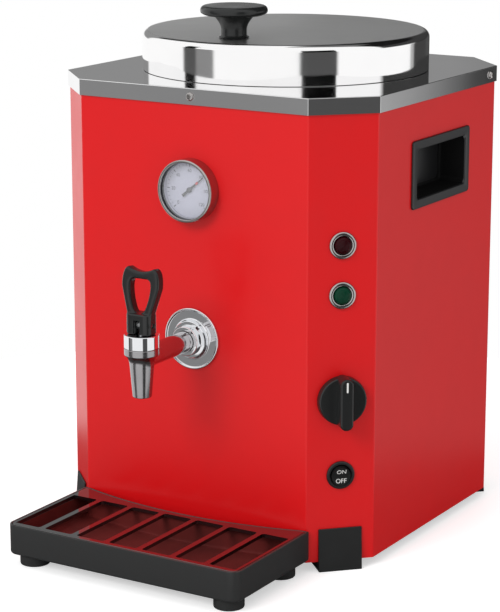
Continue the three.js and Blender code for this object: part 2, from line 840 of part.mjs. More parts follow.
function hingeBracket() {
  const inner = hingeLeafWidth / 2 + fitGap;
  const outer = inner + hingeEarWidth;
  const low = deckTop + fitGap;
  const backEdge = hingeY + hingeBaseDepth / 2;
  let bracket = block(-outer, outer, hingeY + hingeKnuckleRadius + fitGap * 2, backEdge, low, low + hingePlate);
  for (const side of [-1, 1]) {
    const [x0, x1] = side < 0 ? [-outer, -inner] : [inner, outer];
    const foot = block(x0, x1, hingeY - hingeKnuckleRadius, backEdge, low, low + hingePlate);
    const cheek = block(x0, x1, hingeY - hingeKnuckleRadius, hingeY + hingeKnuckleRadius, low, hingeZ);
    const knuckle = crossRod(hingeKnuckleRadius, x0, x1, hingeY, hingeZ, smallRound);
    bracket = bracket.add(foot).add(cheek).add(knuckle);
  }
  const bore = crossRod(hingePinRadius + fitGap, -outer - cutOverrun, outer + cutOverrun, hingeY, hingeZ, tinyRound);
  return bracket.subtract(bore);
}

function hingePin() {
  const half = hingeLeafWidth / 2 + fitGap + hingeEarWidth;
  return crossRod(hingePinRadius, -half, half, hingeY, hingeZ, tinyRound);
}

// Thermometer, modelled with +Z out of the front face

function gaugeCase() {
  const well = gaugeProud - gaugeWellDepth;
  const lipInner = gaugeRadius - gaugeLip;
  return turnedSolid([
    [0, -gaugeBarrelDepth], [gaugeBarrelRadius, -gaugeBarrelDepth], [gaugeBarrelRadius, fitGap],
    [gaugeRadius, fitGap], [gaugeRadius, gaugeProud - gaugeLipEdge], [gaugeRadius - gaugeLipEdge, gaugeProud],
    [lipInner + gaugeLipEdge, gaugeProud], [lipInner, gaugeProud - gaugeLipEdge], [lipInner, well], [0, well],
  ], mediumRound);
}

function gaugeDial() {
  const low = gaugeProud - gaugeWellDepth + fitGap;
  return rod(gaugeRadius - gaugeLip - fitGap, low, low + gaugeDialThickness, mediumRound);
}

function gaugeGlass() {
  const high = gaugeProud - gaugeGlassRecess;
  return rod(gaugeRadius - gaugeLip - fitGap, high - gaugeGlassThickness, high, mediumRound);
}

function gaugePointer() {
  const low = gaugeProud - gaugeWellDepth + gaugeDialThickness + 2 * fitGap;
  const mid = low + (gaugeHubHeight - gaugePointerThickness) / 2;
  const blade = prism(outline([
    [-gaugePointerWidth / 2, -gaugePointerTail], [gaugePointerWidth / 2, -gaugePointerTail],
    [gaugePointerTip / 2, gaugePointerReach], [-gaugePointerTip / 2, gaugePointerReach],
  ]), mid, mid + gaugePointerThickness);
  return blade.add(rod(gaugeHubRadius, low, low + gaugeHubHeight, tinyRound));
}

function gaugeClamp() {
  return ring(gaugeBarrelRadius + fitGap, gaugeClampRadius, behindSheet - gaugeClampThickness, behindSheet,
    mediumRound);
}

function gaugeStem() {
  const start = -gaugeBarrelDepth - fitGap;
  const shoulder = start - gaugeStemRadius;
  return turnedSolid([
    [0, -gaugeTailReach() + fitGap], [gaugeStemRadius, -gaugeTailReach() + fitGap], [gaugeStemRadius, shoulder],
    [2 * gaugeStemRadius, shoulder], [2 * gaugeStemRadius, start], [0, start],
  ], tinyRound);
}

// Tap. The flange, seal, nut and shank lie along the front face's frame; the rest stands on the tap's axis.

function tapFlange() {
  const bore = tapShankRadius + fitGap;
  return turnedSolid([
    [bore, fitGap], [tapFlangeRadius, fitGap], [tapFlangeRadius, tapFlangeRim],
    [tapShoulderRadius, tapFlangeDish], [tapShoulderRadius, tapShoulderProud - tapHubEdge / 2],
    [tapShoulderRadius - tapHubEdge, tapShoulderProud], [tapHubRadius, tapShoulderProud],
    [tapHubRadius, tapHubProud - tapHubEdge], [tapHubRadius - tapHubEdge, tapHubProud], [bore, tapHubProud],
    [bore, fitGap],
  ], mediumRound);
}

function tapSeal() {
  const top = -sealDepth();
  return ring(tapShankRadius + fitGap, sealRadius, top - sealThickness, top, smallRound);
}

function tapBacknut() {
  const top = -sealDepth() - sealThickness - fitGap;
  return nut(tapShankRadius + fitGap, nutRadius, top - nutThickness, top);
}

function tapBody() {
  const shank = placed(rod(tapShankRadius, -tapTailReach(), tapReach, smallRound), frontFrame(0, tapHeight));
  const shankBore = placed(rod(tapShankBore, -tapTailReach() - cutOverrun, tapReach, smallRound),
    frontFrame(0, tapHeight));
  const barrel = shifted(turnedSolid([
    [0, spoutTip], [spoutTipRadius, spoutTip], [spoutRootRadius, tapHeadBottom - tapHeadTaper],
    [tapHeadRadius, tapHeadBottom], [tapHeadRadius, tapHeadTop], [0, tapHeadTop],
  ], mediumRound), 0, tapAxisY, 0);
  const passage = shifted(turnedSolid([
    [0, spoutTip - cutOverrun], [spoutBore, spoutTip - cutOverrun], [spoutBore, tapChamberFloor],
    [tapChamberRadius, tapChamberFloor], [tapChamberRadius, tapHeadTop + cutOverrun],
    [0, tapHeadTop + cutOverrun],
  ], smallRound), 0, tapAxisY, 0);
  return barrel.add(shank).subtract(shankBore).subtract(passage);
}

function tapBonnet() {
  const low = tapHeadTop + fitGap;
  const ceiling = tapBonnetTop - bonnetCrown;
  return shifted(turnedSolid([
    [bonnetBore, low], [tapHeadRadius, low], [tapHeadRadius, tapBonnetTop - bonnetEdge],
    [tapHeadRadius - bonnetEdge, tapBonnetTop], [stemRadius + fitGap, tapBonnetTop],
    [stemRadius + fitGap, ceiling], [bonnetBore, ceiling], [bonnetBore, low],
  ], mediumRound), 0, tapAxisY, 0);
}

function seatCup() {
  const low = tapChamberFloor + fitGap;
  const high = low + seatCupHeight;
  return shifted(turnedSolid([
    [0, low], [seatCupRadius - fitGap, low], [seatCupRadius, high], [stemRadius + fitGap, high],
    [stemRadius + fitGap, low + seatCupHeight / 2], [0, low + seatCupHeight / 2],
  ], smallRound), 0, tapAxisY, 0);
}

function tapStem() {
  const low = tapChamberFloor + seatCupHeight / 2 + 2 * fitGap;
  const shaft = shifted(rod(stemRadius, low, pivotZ, tinyRound), 0, tapAxisY, 0);
  const eye = crossRod(stemEyeRadius, -stemEyeWidth / 2, stemEyeWidth / 2, tapAxisY, pivotZ, smallRound);
  const bore = crossRod(pinRadius + fitGap, -stemEyeWidth, stemEyeWidth, tapAxisY, pivotZ, tinyRound);
  return shaft.add(eye).subtract(bore);
}

function tapPin() {
  const half = leverBaseWidth / 2 - fitGap;
  return crossRod(pinRadius, -half, half, tapAxisY, pivotZ, tinyRound);
}

// A closing spring between the seat cup and the bonnet's ceiling, one tube wound as a helix
function tapSpring() {
  const low = tapChamberFloor + seatCupHeight + 2 * fitGap + springWire;
  const high = tapBonnetTop - bonnetCrown - fitGap - springWire;
  const steps = springTurns * springStepsPerTurn;
  const rings = [];
  for (let i = 0; i <= steps; i += 1) {
    const angle = 2 * Math.PI * i / springStepsPerTurn;
    const across = new THREE.Vector3(Math.cos(angle), Math.sin(angle), 0);
    const centre = across.clone().multiplyScalar(springRadius - springWire);
    centre.z = low + (high - low) * i / steps;
    for (let k = 0; k < springSides; k += 1) {
      const turn = 2 * Math.PI * k / springSides;
      const point = centre.clone().addScaledVector(across, springWire * Math.cos(turn));
      point.z += springWire * Math.sin(turn);
      rings.push(point.x, point.y + tapAxisY, point.z);
    }
  }
  const faces = [];
  for (let i = 0; i < steps; i += 1) {
    for (let k = 0; k < springSides; k += 1) {
      const next = (k + 1) % springSides;
      const [a, b] = [i * springSides + k, i * springSides + next];
      faces.push(a, b, a + springSides, b, b + springSides, a + springSides);
    }
  }
  for (let k = 1; k < springSides - 1; k += 1) {
    const end = steps * springSides;
    faces.push(0, k + 1, k, end, end + k, end + k + 1);
  }
  const geometry = new THREE.BufferGeometry();
  geometry.setAttribute('position', new THREE.BufferAttribute(new Float32Array(rings), 3));
  geometry.setIndex(faces);
  return solidOf(geometry);
}

// Half of the lever's outline, mirrored about the tap's axis
function leverOutline() {
  const base = leverBaseWidth / 2;
  const loop = leverLoopWidth / 2;
  const low = tapBonnetTop + fitGap;
  const neck = low + leverBaseHeight;
  const rise = leverTop - neck;
  const belly = neck + rise * leverBellyShare;
  const shape = new THREE.Shape();
  shape.moveTo(-base, low);
  shape.lineTo(base, low);
  shape.lineTo(base, neck);
  shape.quadraticCurveTo(base + (loop - base) * leverNeckShare, neck + rise * leverHoleWaistShare, loop, belly);
  shape.quadraticCurveTo(loop, leverTop - leverNotch, loop - leverWall / 2, leverTop);
  shape.quadraticCurveTo(0, leverTop - 2 * leverNotch, -loop + leverWall / 2, leverTop);
  shape.quadraticCurveTo(-loop, leverTop - leverNotch, -loop, belly);
  shape.quadraticCurveTo(-base - (loop - base) * leverNeckShare, neck + rise * leverHoleWaistShare, -base, neck);
  const hole = new THREE.Path();
  const holeTop = leverTop - leverNotch - leverBar;
  const holeHalf = loop - leverWall;
  hole.moveTo(0, neck);
  hole.quadraticCurveTo(holeHalf * leverBellyShare, neck + leverBar / 2, holeHalf, belly);
  hole.lineTo(holeHalf - leverEdge, holeTop);
  hole.lineTo(-holeHalf + leverEdge, holeTop);
  hole.lineTo(-holeHalf, belly);
  hole.quadraticCurveTo(-holeHalf * leverBellyShare, neck + leverBar / 2, 0, neck);
  shape.holes.push(hole);
  return shape;
}

// The loop leans back from its base. The base holds the stem's eye in a slot that is open to the front,
// so the stem stays upright while the lever tilts and its heel lifts the stem.
function tapLever() {
  const low = tapBonnetTop + fitGap;
  const neck = low + leverBaseHeight;
  const half = leverThickness / 2;
  const plate = new THREE.ExtrudeGeometry(leverOutline(), {
    depth: leverThickness - 2 * leverEdge,
    bevelEnabled: true,
    bevelThickness: leverEdge,
    bevelSize: leverEdge,
    bevelOffset: -leverEdge,
    bevelSegments: edgeSteps,
    curveSegments: leverCurveSteps,
  });
  plate.translate(0, 0, -half + leverEdge);
  plate.rotateX(Math.PI / 2);
  plate.translate(0, 0, -neck);
  plate.rotateX(THREE.MathUtils.degToRad(-leverLean));
  plate.translate(0, tapAxisY, neck);
  const trimmed = solidOf(plate).subtract(block(-leverLoopWidth, leverLoopWidth, tapAxisY - leverLoopWidth,
    tapAxisY + leverLoopWidth, low - leverLoopWidth, pivotZ));
  const base = prism(roundedRectangle(leverBaseWidth, leverBaseDepth, leverBaseDepth * leverCornerShare), low, neck);
  const slot = block(-leverSlotWidth / 2, leverSlotWidth / 2, -leverBaseDepth / 2 - cutOverrun, leverSlotDepth / 2,
    low - cutOverrun, pivotZ + leverSlotDepth / 2);
  const hollowed = shifted(base.subtract(slot), 0, tapAxisY, 0);
  const pocket = shifted(slot, 0, tapAxisY, 0);
  const bore = crossRod(pinRadius + fitGap, -leverBaseWidth, leverBaseWidth, tapAxisY, pivotZ, tinyRound);
  return trimmed.add(hollowed).subtract(pocket).subtract(bore);
}

// Controls, modelled with +Z out of the corner face

function lampBezel() {
  const bore = lampLensRadius + fitGap;
  return turnedSolid([
    [0, -lampBarrelDepth], [lampBarrelRadius, -lampBarrelDepth], [lampBarrelRadius, fitGap],
    [lampBezelRadius, fitGap], [lampBezelRadius, lampBezelProud / 2],
    [lampBezelRadius - lampBezelProud / 2, lampBezelProud], [bore, lampBezelProud],
    [bore, -lampLensDepth], [0, -lampLensDepth],
  ], mediumRound);
}

function lampLens() {
  const low = -lampLensDepth + fitGap;
  const dome = arc(0, 0, lampLensRadius, 0, 90, profileSteps).slice(0, -1)
    .map(([r, h]) => [r, lampBezelProud + h * lampLensDome / lampLensRadius]);
  return turnedSolid([[0, low], [lampLensRadius, low], ...dome, [0, lampBezelProud + lampLensDome]], smallRound);
}

function lampNut() {
  return nut(lampBarrelRadius + fitGap, lampNutRadius, behindSheet - lampNutThickness, behindSheet);
}

function thermostatKnob() {
  const low = knobStandoff;
  const high = low + knobDiscThickness;
  const disc = turnedSolid([
    [0, low], [knobDiscRadius, low], [knobDiscRadius - knobDiscDraft, high], [0, high],
  ], mediumRound);
  const gripShape = roundedRectangle(knobGripWidth, knobGripLength, knobGripWidth / 2 - fitGap);
  const grip = roundedPrism(gripShape, low, knobGripProud, knobGripDraft, edgeSteps);
  const bore = rod(shaftRadius + fitGap, low - cutOverrun, shaftInKnob + fitGap, tinyRound);
  return disc.add(grip).subtract(bore);
}

function thermostatShaft() {
  return rod(shaftRadius, behindSheet - thermostatEntry + fitGap, shaftInKnob, tinyRound);
}

function thermostatBody() {
  const high = behindSheet;
  const half = thermostatWidth / 2;
  const body = block(-half, half, -half, half, high - thermostatDepth, high);
  return body.subtract(rod(shaftRadius + fitGap, high - thermostatEntry, high + cutOverrun, tinyRound));
}

// From the thermostat's underside down, across under the jacket and up into the water bath
function thermostatCapillary() {
  const reach = -behindSheet + thermostatDepth / 2;
  const start = new THREE.Vector3(0, -thermostatWidth / 2 - fitGap, -reach)
    .applyMatrix4(controlFrame(thermostatHeight));
  const bend = start.clone().setZ((start.z + capillaryDrop) / 2);
  const across = start.clone().lerp(new THREE.Vector3(bulbOffset, tankOffset, 0), capillaryBendShare)
    .setZ(capillaryDrop);
  const under = new THREE.Vector3(bulbOffset, tankOffset, capillaryDrop);
  const turn = under.clone().lerp(across, capillaryBendShare).setZ(capillaryDrop);
  const rise = new THREE.Vector3(bulbOffset, tankOffset, (capillaryDrop + jacketFloor) / 2);
  const top = new THREE.Vector3(bulbOffset, tankOffset, jacketFloor);
  const line = tube([start, bend, across, turn, rise, top], capillaryRadius, tubeSides, capillarySteps);
  const bulb = rod(bulbRadius, jacketFloor - sheet, bulbTop, tinyRound);
  return line.add(shifted(bulb, bulbOffset, tankOffset, 0));
}

function switchBody() {
  return turnedSolid([
    [0, -switchBarrelDepth], [switchBarrelRadius, -switchBarrelDepth], [switchBarrelRadius, fitGap],
    [switchFlangeRadius, fitGap], [switchFlangeRadius, switchFlangeProud / 2],
    [switchFlangeRadius - switchFlangeProud / 2, switchFlangeProud], [switchWellRadius, switchFlangeProud],
    [switchWellRadius, -switchWellDepth], [0, -switchWellDepth],
  ], mediumRound);
}

// A round rocker with a shallow V across its face, at rest with its lower half pressed in
function switchRocker() {
  const high = switchFlangeProud + rockerProud;
  const face = outline([
    [-rockerRadius, -rockerDepth], [rockerRadius, -rockerDepth], [rockerRadius, high],
    [0, high - rockerDish], [-rockerRadius, high],
  ]);
  const wedge = new THREE.ExtrudeGeometry(face, { depth: 2 * rockerRadius, bevelEnabled: false });
  wedge.translate(0, 0, -rockerRadius);
  wedge.rotateX(Math.PI / 2);
  wedge.rotateZ(Math.PI / 2);
  const round = rod(rockerRadius - fitGap, -rockerDepth - cutOverrun, high + cutOverrun, mediumRound);
  const tilt = new THREE.Matrix4().makeRotationX(THREE.MathUtils.degToRad(rockerTilt));
  return placed(solidOf(wedge).intersect(round), tilt);
}

// Side grips, modelled with +Z out of the side

function gripWindow() {
  const trim = 2 * (gripBorder - gripWall - fitGap);
  return roundedRectangle(gripLength - trim, gripHeight - trim, gripCorner);
}

function sideGrip() {
  const flange = roundedPrism(roundedRectangle(gripLength, gripHeight, gripCorner), fitGap, gripProud,
    gripEdge, edgeSteps);
  const outer = 2 * (gripBorder - gripWall);
  const cup = prism(roundedRectangle(gripLength - outer, gripHeight - outer, gripCorner), -gripDepth, gripProud / 2);
  const inner = 2 * gripBorder;
  const pocket = prism(roundedRectangle(gripLength - inner, gripHeight - inner, gripCorner),
    -gripDepth + gripWall, gripProud + cutOverrun);
  return flange.add(cup).subtract(pocket);
}

// A corner foot, modelled with +Z out of the corner face and its outline drawn across it
function cornerFoot() {
  const sole = bodyBottom - fitGap;
  const profile = outline([
    [-footSoleDepth, 0], [footBottomThickness, 0], [footTopThickness, footHeight], [fitGap, footHeight],
    [fitGap, sole], [-footSoleDepth, sole],
  ]);
  const geometry = new THREE.ExtrudeGeometry(profile, { depth: footWidth, bevelEnabled: false });
  geometry.translate(0, 0, -footWidth / 2);
  geometry.rotateY(-Math.PI / 2);
  return solidOf(geometry);
}

// Drip tray

// The tray's plan moved inwards by an inset; its back edge is a hollow arc between two short flats,
// and only the flats meet the housing
function trayPlan(inset) {
  const half = trayHalf - inset;
  const y = -trayFront + inset;
  const corner = trayCorner - inset;
  const radius = trayArcRadius + inset;
  const flatAngle = Math.acos((trayArcCentre - trayBack + inset) / radius);
  const ends = Math.min(flatAngle, Math.asin(half / radius));
  const backY = trayArcCentre - radius * Math.cos(ends);
  const shape = new THREE.Shape();
  shape.moveTo(-half + corner, y);
  shape.lineTo(half - corner, y);
  shape.absarc(half - corner, y + corner, corner, front, right, false);
  shape.lineTo(half, backY);
  for (let i = 0; i <= rearArcSteps; i += 1) {
    const angle = ends * (1 - 2 * i / rearArcSteps);
    shape.lineTo(radius * Math.sin(angle), trayArcCentre - radius * Math.cos(angle));
  }
  shape.lineTo(-half, backY);
  shape.lineTo(-half, y + corner);
  shape.absarc(-half + corner, y + corner, corner, left, left + rear, false);
  return shape;
}

function dripTray() {
  const ledge = trayTop - grilleThickness - fitGap;
  const tub = prism(trayPlan(0), trayBottom, trayTop);
  const hollow = prism(trayPlan(trayWall), trayBottom + trayFloor, trayTop + cutOverrun);
  const seat = prism(trayPlan(trayRim), ledge, trayTop + cutOverrun);
  let tray = tub.subtract(hollow).subtract(seat);
  const backRow = trayBack - trayFootInset;
  const frontRow = -trayFront + trayFootInset;
  for (const side of [-1, 1]) {
    for (const y of [frontRow, backRow]) {
      const foot = rod(trayFootRadius, 0, trayBottom + trayFloor / 2, smallRound);
      tray = tray.add(shifted(foot, side * (trayHalf - trayFootInset), y, 0));
    }
  }
  return tray;
}

function dripGrille() {
  const low = trayTop - grilleThickness;
  let grille = prism(trayPlan(trayRim + fitGap), low, trayTop);
  const slotWidth = grillePitch - grilleBar;
  const [y0, y1] = [-trayFront + trayRim + grilleFrontBorder, -grilleSlotBack];
  const slot = roundedRectangle(slotWidth, y1 - y0, grilleBar / 2);
  for (let i = 0; i < grilleSlots; i += 1) {
    const x = (i - (grilleSlots - 1) / 2) * grillePitch;
    const reach = trayHalf - trayRim - 2 * fitGap - grilleBar / 2;
    const cutter = shifted(prism(slot, low - cutOverrun, trayTop + cutOverrun, slotCurve), x,
      (y0 + y1) / 2, 0);
    const kept = block(-reach, reach, y0, y1, low - cutOverrun, trayTop + cutOverrun);
    grille = grille.subtract(cutter.intersect(kept));
  }
  return grille;
}

// Finishes

const finish = (color, roughness, metalness) => new THREE.MeshStandardMaterial({ color, roughness, metalness });
const redPaint = finish(0xd8262a, 0.35, 0);
const mirrorSteel = finish(0xc9cacb, 0.08, 1);
const satinSteel = finish(0x9b9b9a, 0.35, 1);
const chrome = finish(0xd2d4d6, 0.06, 1);
const blackPlastic = finish(0x1f2022, 0.45, 0);
const glossBlack = finish(0x17191a, 0.12, 0);
const zincSteel = finish(0xb4b6b8, 0.4, 1);
const whiteDial = finish(0xe9eaf0, 0.5, 0);
const clearGlass = new THREE.MeshStandardMaterial({ color: 0xf4f8fa, roughness: 0.03, transparent: true, opacity: 0.35 });
const redLens = finish(0x4a0b10, 0.1, 0);
const greenLens = finish(0x0b5a34, 0.1, 0);
const silicone = finish(0xc8c4bc, 0.7, 0);
const mineralWool = finish(0xcdbf92, 0.95, 0);
const ceramic = finish(0xddd8ca, 0.6, 0);

// Assembly

const machine = new THREE.Group();
machine.position.set(0, centreShift, 0);

function add(parent, name, solid, material) {
  const mesh = new THREE.Mesh(geometryOf(solid), material);
  mesh.name = name;
  parent.add(mesh);
  return mesh;
}

function groupAt(frame) {
  const group = new THREE.Group();
  group.applyMatrix4(frame);
  machine.add(group);
  return group;
}

add(machine, 'housing_wrap', housingWrap(), redPaint);
add(machine, 'rear_cover', rearCover(), redPaint);
add(machine, 'base_plate', basePlate(), zincSteel);
add(machine, 'top_deck', topDeck(), mirrorSteel);
add(machine, 'milk_tank', milkTank(), satinSteel);
add(machine, 'water_jacket', waterJacket(), zincSteel);
add(machine, 'insulation_sleeve', insulationSleeve(), mineralWool);
add(machine, 'heating_element', heatingElement(), zincSteel);
add(machine, 'terminal_block', terminalBlock(), ceramic);
add(groupAt(rearFrame(glandSide, glandHeight)), 'cable_gland', cableGland(), blackPlastic);

add(machine, 'lid_shell', lidShell(), satinSteel);
add(machine, 'lid_knob', lidKnob(), blackPlastic);
add(machine, 'lid_knob_screw', lidKnobScrew(), zincSteel);
add(machine, 'lid_hinge_leaf', hingeLeaf(), chrome);
add(machine, 'lid_hinge_bracket', hingeBracket(), chrome);
add(machine, 'lid_hinge_pin', hingePin(), chrome);

const gauge = groupAt(frontFrame(0, gaugeHeight));
add(gauge, 'gauge_case', gaugeCase(), chrome);
add(gauge, 'gauge_dial', gaugeDial(), whiteDial);
add(gauge, 'gauge_glass', gaugeGlass(), clearGlass);
add(gauge, 'gauge_pointer', gaugePointer(), blackPlastic).rotation.z = THREE.MathUtils.degToRad(-gaugePointerTurn);
add(gauge, 'gauge_clamp', gaugeClamp(), zincSteel);
add(gauge, 'gauge_stem', gaugeStem(), zincSteel);

const tapMount = groupAt(frontFrame(0, tapHeight));
add(tapMount, 'tap_flange', tapFlange(), chrome);
add(tapMount, 'tap_seal', tapSeal(), silicone);
add(tapMount, 'tap_backnut', tapBacknut(), zincSteel);
add(machine, 'tap_body', tapBody(), chrome);
add(machine, 'tap_bonnet', tapBonnet(), chrome);
add(machine, 'tap_stem', tapStem(), zincSteel);
add(machine, 'tap_seat_cup', seatCup(), silicone);
add(machine, 'tap_spring', tapSpring(), zincSteel);
add(machine, 'tap_pin', tapPin(), chrome);
add(machine, 'tap_lever', tapLever(), blackPlastic);

for (const [name, height, lens] of [['lamp_red', lampRedHeight, redLens], ['lamp_green', lampGreenHeight, greenLens]]) {
  const lamp = groupAt(controlFrame(height));
  add(lamp, `${name}_bezel`, lampBezel(), chrome);
  add(lamp, `${name}_lens`, lampLens(), lens);
  add(lamp, `${name}_nut`, lampNut(), zincSteel);
}

const thermostat = groupAt(controlFrame(thermostatHeight));
add(thermostat, 'thermostat_knob', thermostatKnob(), blackPlastic);
add(thermostat, 'thermostat_shaft', thermostatShaft(), zincSteel);
add(thermostat, 'thermostat_body', thermostatBody(), ceramic);
add(machine, 'thermostat_capillary', thermostatCapillary(), zincSteel);

const powerSwitch = groupAt(controlFrame(switchHeight));
add(powerSwitch, 'switch_body', switchBody(), blackPlastic);
add(powerSwitch, 'switch_rocker', switchRocker(), blackPlastic);

for (const [name, side] of [['side_grip_left', -1], ['side_grip_right', 1]]) {
  add(groupAt(sideFrame(side, gripCentreHeight)), name, sideGrip(), blackPlastic);
}

for (const [frontName, signY] of [['front', -1], ['rear', 1]]) {
  for (const [sideName, signX] of [['left', -1], ['right', 1]]) {
    add(groupAt(cornerFrame(signX, signY, 0)), `corner_foot_${frontName}_${sideName}`, cornerFoot(), blackPlastic);
  }
}

add(machine, 'drip_tray', dripTray(), glossBlack);
add(machine, 'drip_grille', dripGrille(), glossBlack);

['front', 'right', 'left', 'rear'].forEach((place, i) => {
  add(groupAt(deckScrewFrames()[i]), `deck_screw_${place}`, panScrew(), chrome);
});

['low_left', 'low_right', 'high_left', 'high_right'].forEach((place, i) => {
  add(groupAt(coverScrewFrames()[i]), `cover_screw_${place}`, panScrew(), chrome);
});

export default machine;
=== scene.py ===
"""Dresses a counter-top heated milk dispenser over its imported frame.

Lengths inside the classes are millimetres in the housing's own frame: X to the right, -Y to the front and Z up
from the bench. Every finished mesh is brought to the row frame, in metres, by Workshop.stand.
"""

import logging
import math
from dataclasses import dataclass
from enum import Enum
from typing import Any, Callable, Iterable, Optional, Sequence, Union

import bmesh
import bpy
from mathutils import Euler, Matrix, Vector


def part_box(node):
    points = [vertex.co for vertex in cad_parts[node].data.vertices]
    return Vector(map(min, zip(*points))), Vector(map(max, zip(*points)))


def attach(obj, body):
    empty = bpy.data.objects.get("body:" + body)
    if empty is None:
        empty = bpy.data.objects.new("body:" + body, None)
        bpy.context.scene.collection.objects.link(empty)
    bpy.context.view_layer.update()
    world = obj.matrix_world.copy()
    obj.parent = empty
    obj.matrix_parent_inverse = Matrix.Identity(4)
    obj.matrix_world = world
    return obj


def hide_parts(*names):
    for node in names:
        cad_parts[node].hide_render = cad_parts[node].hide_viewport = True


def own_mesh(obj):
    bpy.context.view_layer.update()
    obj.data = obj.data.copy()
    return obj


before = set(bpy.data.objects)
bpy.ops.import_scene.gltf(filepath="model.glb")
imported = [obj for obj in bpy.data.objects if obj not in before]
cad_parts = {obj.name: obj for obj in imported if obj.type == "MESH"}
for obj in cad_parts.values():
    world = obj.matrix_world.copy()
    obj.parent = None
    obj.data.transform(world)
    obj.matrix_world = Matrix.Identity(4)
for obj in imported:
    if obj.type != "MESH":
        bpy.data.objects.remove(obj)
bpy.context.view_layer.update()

LOG = logging.getLogger("milk_dispenser")

Point = tuple[float, float]
Triple = tuple[float, float, float]
Loop = list[bmesh.types.BMVert]
Inputs = Optional[dict[Union[str, int], Any]]

MM = 0.001
WRAP_LOW, WRAP_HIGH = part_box("housing_wrap")
TO_ROW = Matrix.Translation((0.0, (WRAP_LOW.y + WRAP_HIGH.y) / 2, 0.0)) @ Matrix.Scale(MM, 4)

# Sizes that more than one sub-assembly stands on
HALF_WIDTH = 150.0
HALF_DEPTH = 148.0
CORNER_CUT = 41.0
CORNER_X = HALF_WIDTH - CORNER_CUT / 2
CORNER_Y = HALF_DEPTH - CORNER_CUT / 2
SIDE_MIDDLE = 3.0
SHEET = 1.2
GAP = 0.3
DECK_TOP = 393.0
TANK_AXIS_Y = 2.7

# How far a cutter reaches to each side of a sheet, and a length beyond every piece
PUNCH = 8.0
FAR = 2000.0

# Scale, detail and weight of the two noises that surfaces wander by, and how fast their sum swings
WANDER = ((11.0, 2.0, 0.7), (55.0, 1.0, 0.3))
SWING = 12.5

COAT_ROUGHNESS = 0.03


class Wall(Enum):
    """A face of the housing: its heading in degrees, and the X and Y of its middle."""

    FRONT = (-90.0, 0.0, -HALF_DEPTH)
    REAR = (90.0, 0.0, HALF_DEPTH)
    RIGHT = (0.0, HALF_WIDTH, SIDE_MIDDLE)
    LEFT = (180.0, -HALF_WIDTH, SIDE_MIDDLE)
    FRONT_RIGHT = (-45.0, CORNER_X, -CORNER_Y)
    FRONT_LEFT = (-135.0, -CORNER_X, -CORNER_Y)
    REAR_RIGHT = (45.0, CORNER_X, CORNER_Y)
    REAR_LEFT = (135.0, -CORNER_X, CORNER_Y)

    def place(self, height: float, along: float = 0.0, proud: float = 0.0) -> Matrix:
        """Gives a frame on this face with +Z out of it and +Y up.

        Args:
            height: height over the bench.
            along: distance along the face from its middle, to the right as one looks at it.
            proud: distance out of the face.

        Returns:
            The frame's matrix.
        """
        heading, x, y = self.value
        out = Vector((math.cos(math.radians(heading)), math.sin(math.radians(heading)), 0.0))
        side = Vector((0.0, 0.0, 1.0)).cross(out)
        spot = Vector((x, y, height)) + side * along + out * proud
        return Matrix(((side.x, 0, out.x, spot.x), (side.y, 0, out.y, spot.y), (0, 1, 0, spot.z), (0, 0, 0, 1)))


class Opening(Enum):
    """A round opening in the painted case: its face, its height over the bench and its radius."""

    THERMOMETER = (Wall.FRONT, 310.0, 24.3)
    TAP = (Wall.FRONT, 184.5, 9.05)
    RED_LAMP = (Wall.FRONT_RIGHT, 274.0, 8.7)
    GREEN_LAMP = (Wall.FRONT_RIGHT, 233.0, 8.7)
    THERMOSTAT = (Wall.FRONT_RIGHT, 146.0, 5.0)
    SWITCH = (Wall.FRONT_RIGHT, 82.0, 10.3)

    def __init__(self, wall: Wall, height: float, radius: float) -> None:
        """Keeps the face's frame at the opening's middle, and the radius."""
        self.place = wall.place(height)
        self.radius = radius


class Grain(Enum):
    """The fine relief of a surface."""

    SPECKLE = "moulded_speckle"
    RINGS = "turned_rings"


def grey(level: float) -> tuple[float, float, float, float]:
    """Gives a grey of one level."""
    return (level, level, level, 1.0)


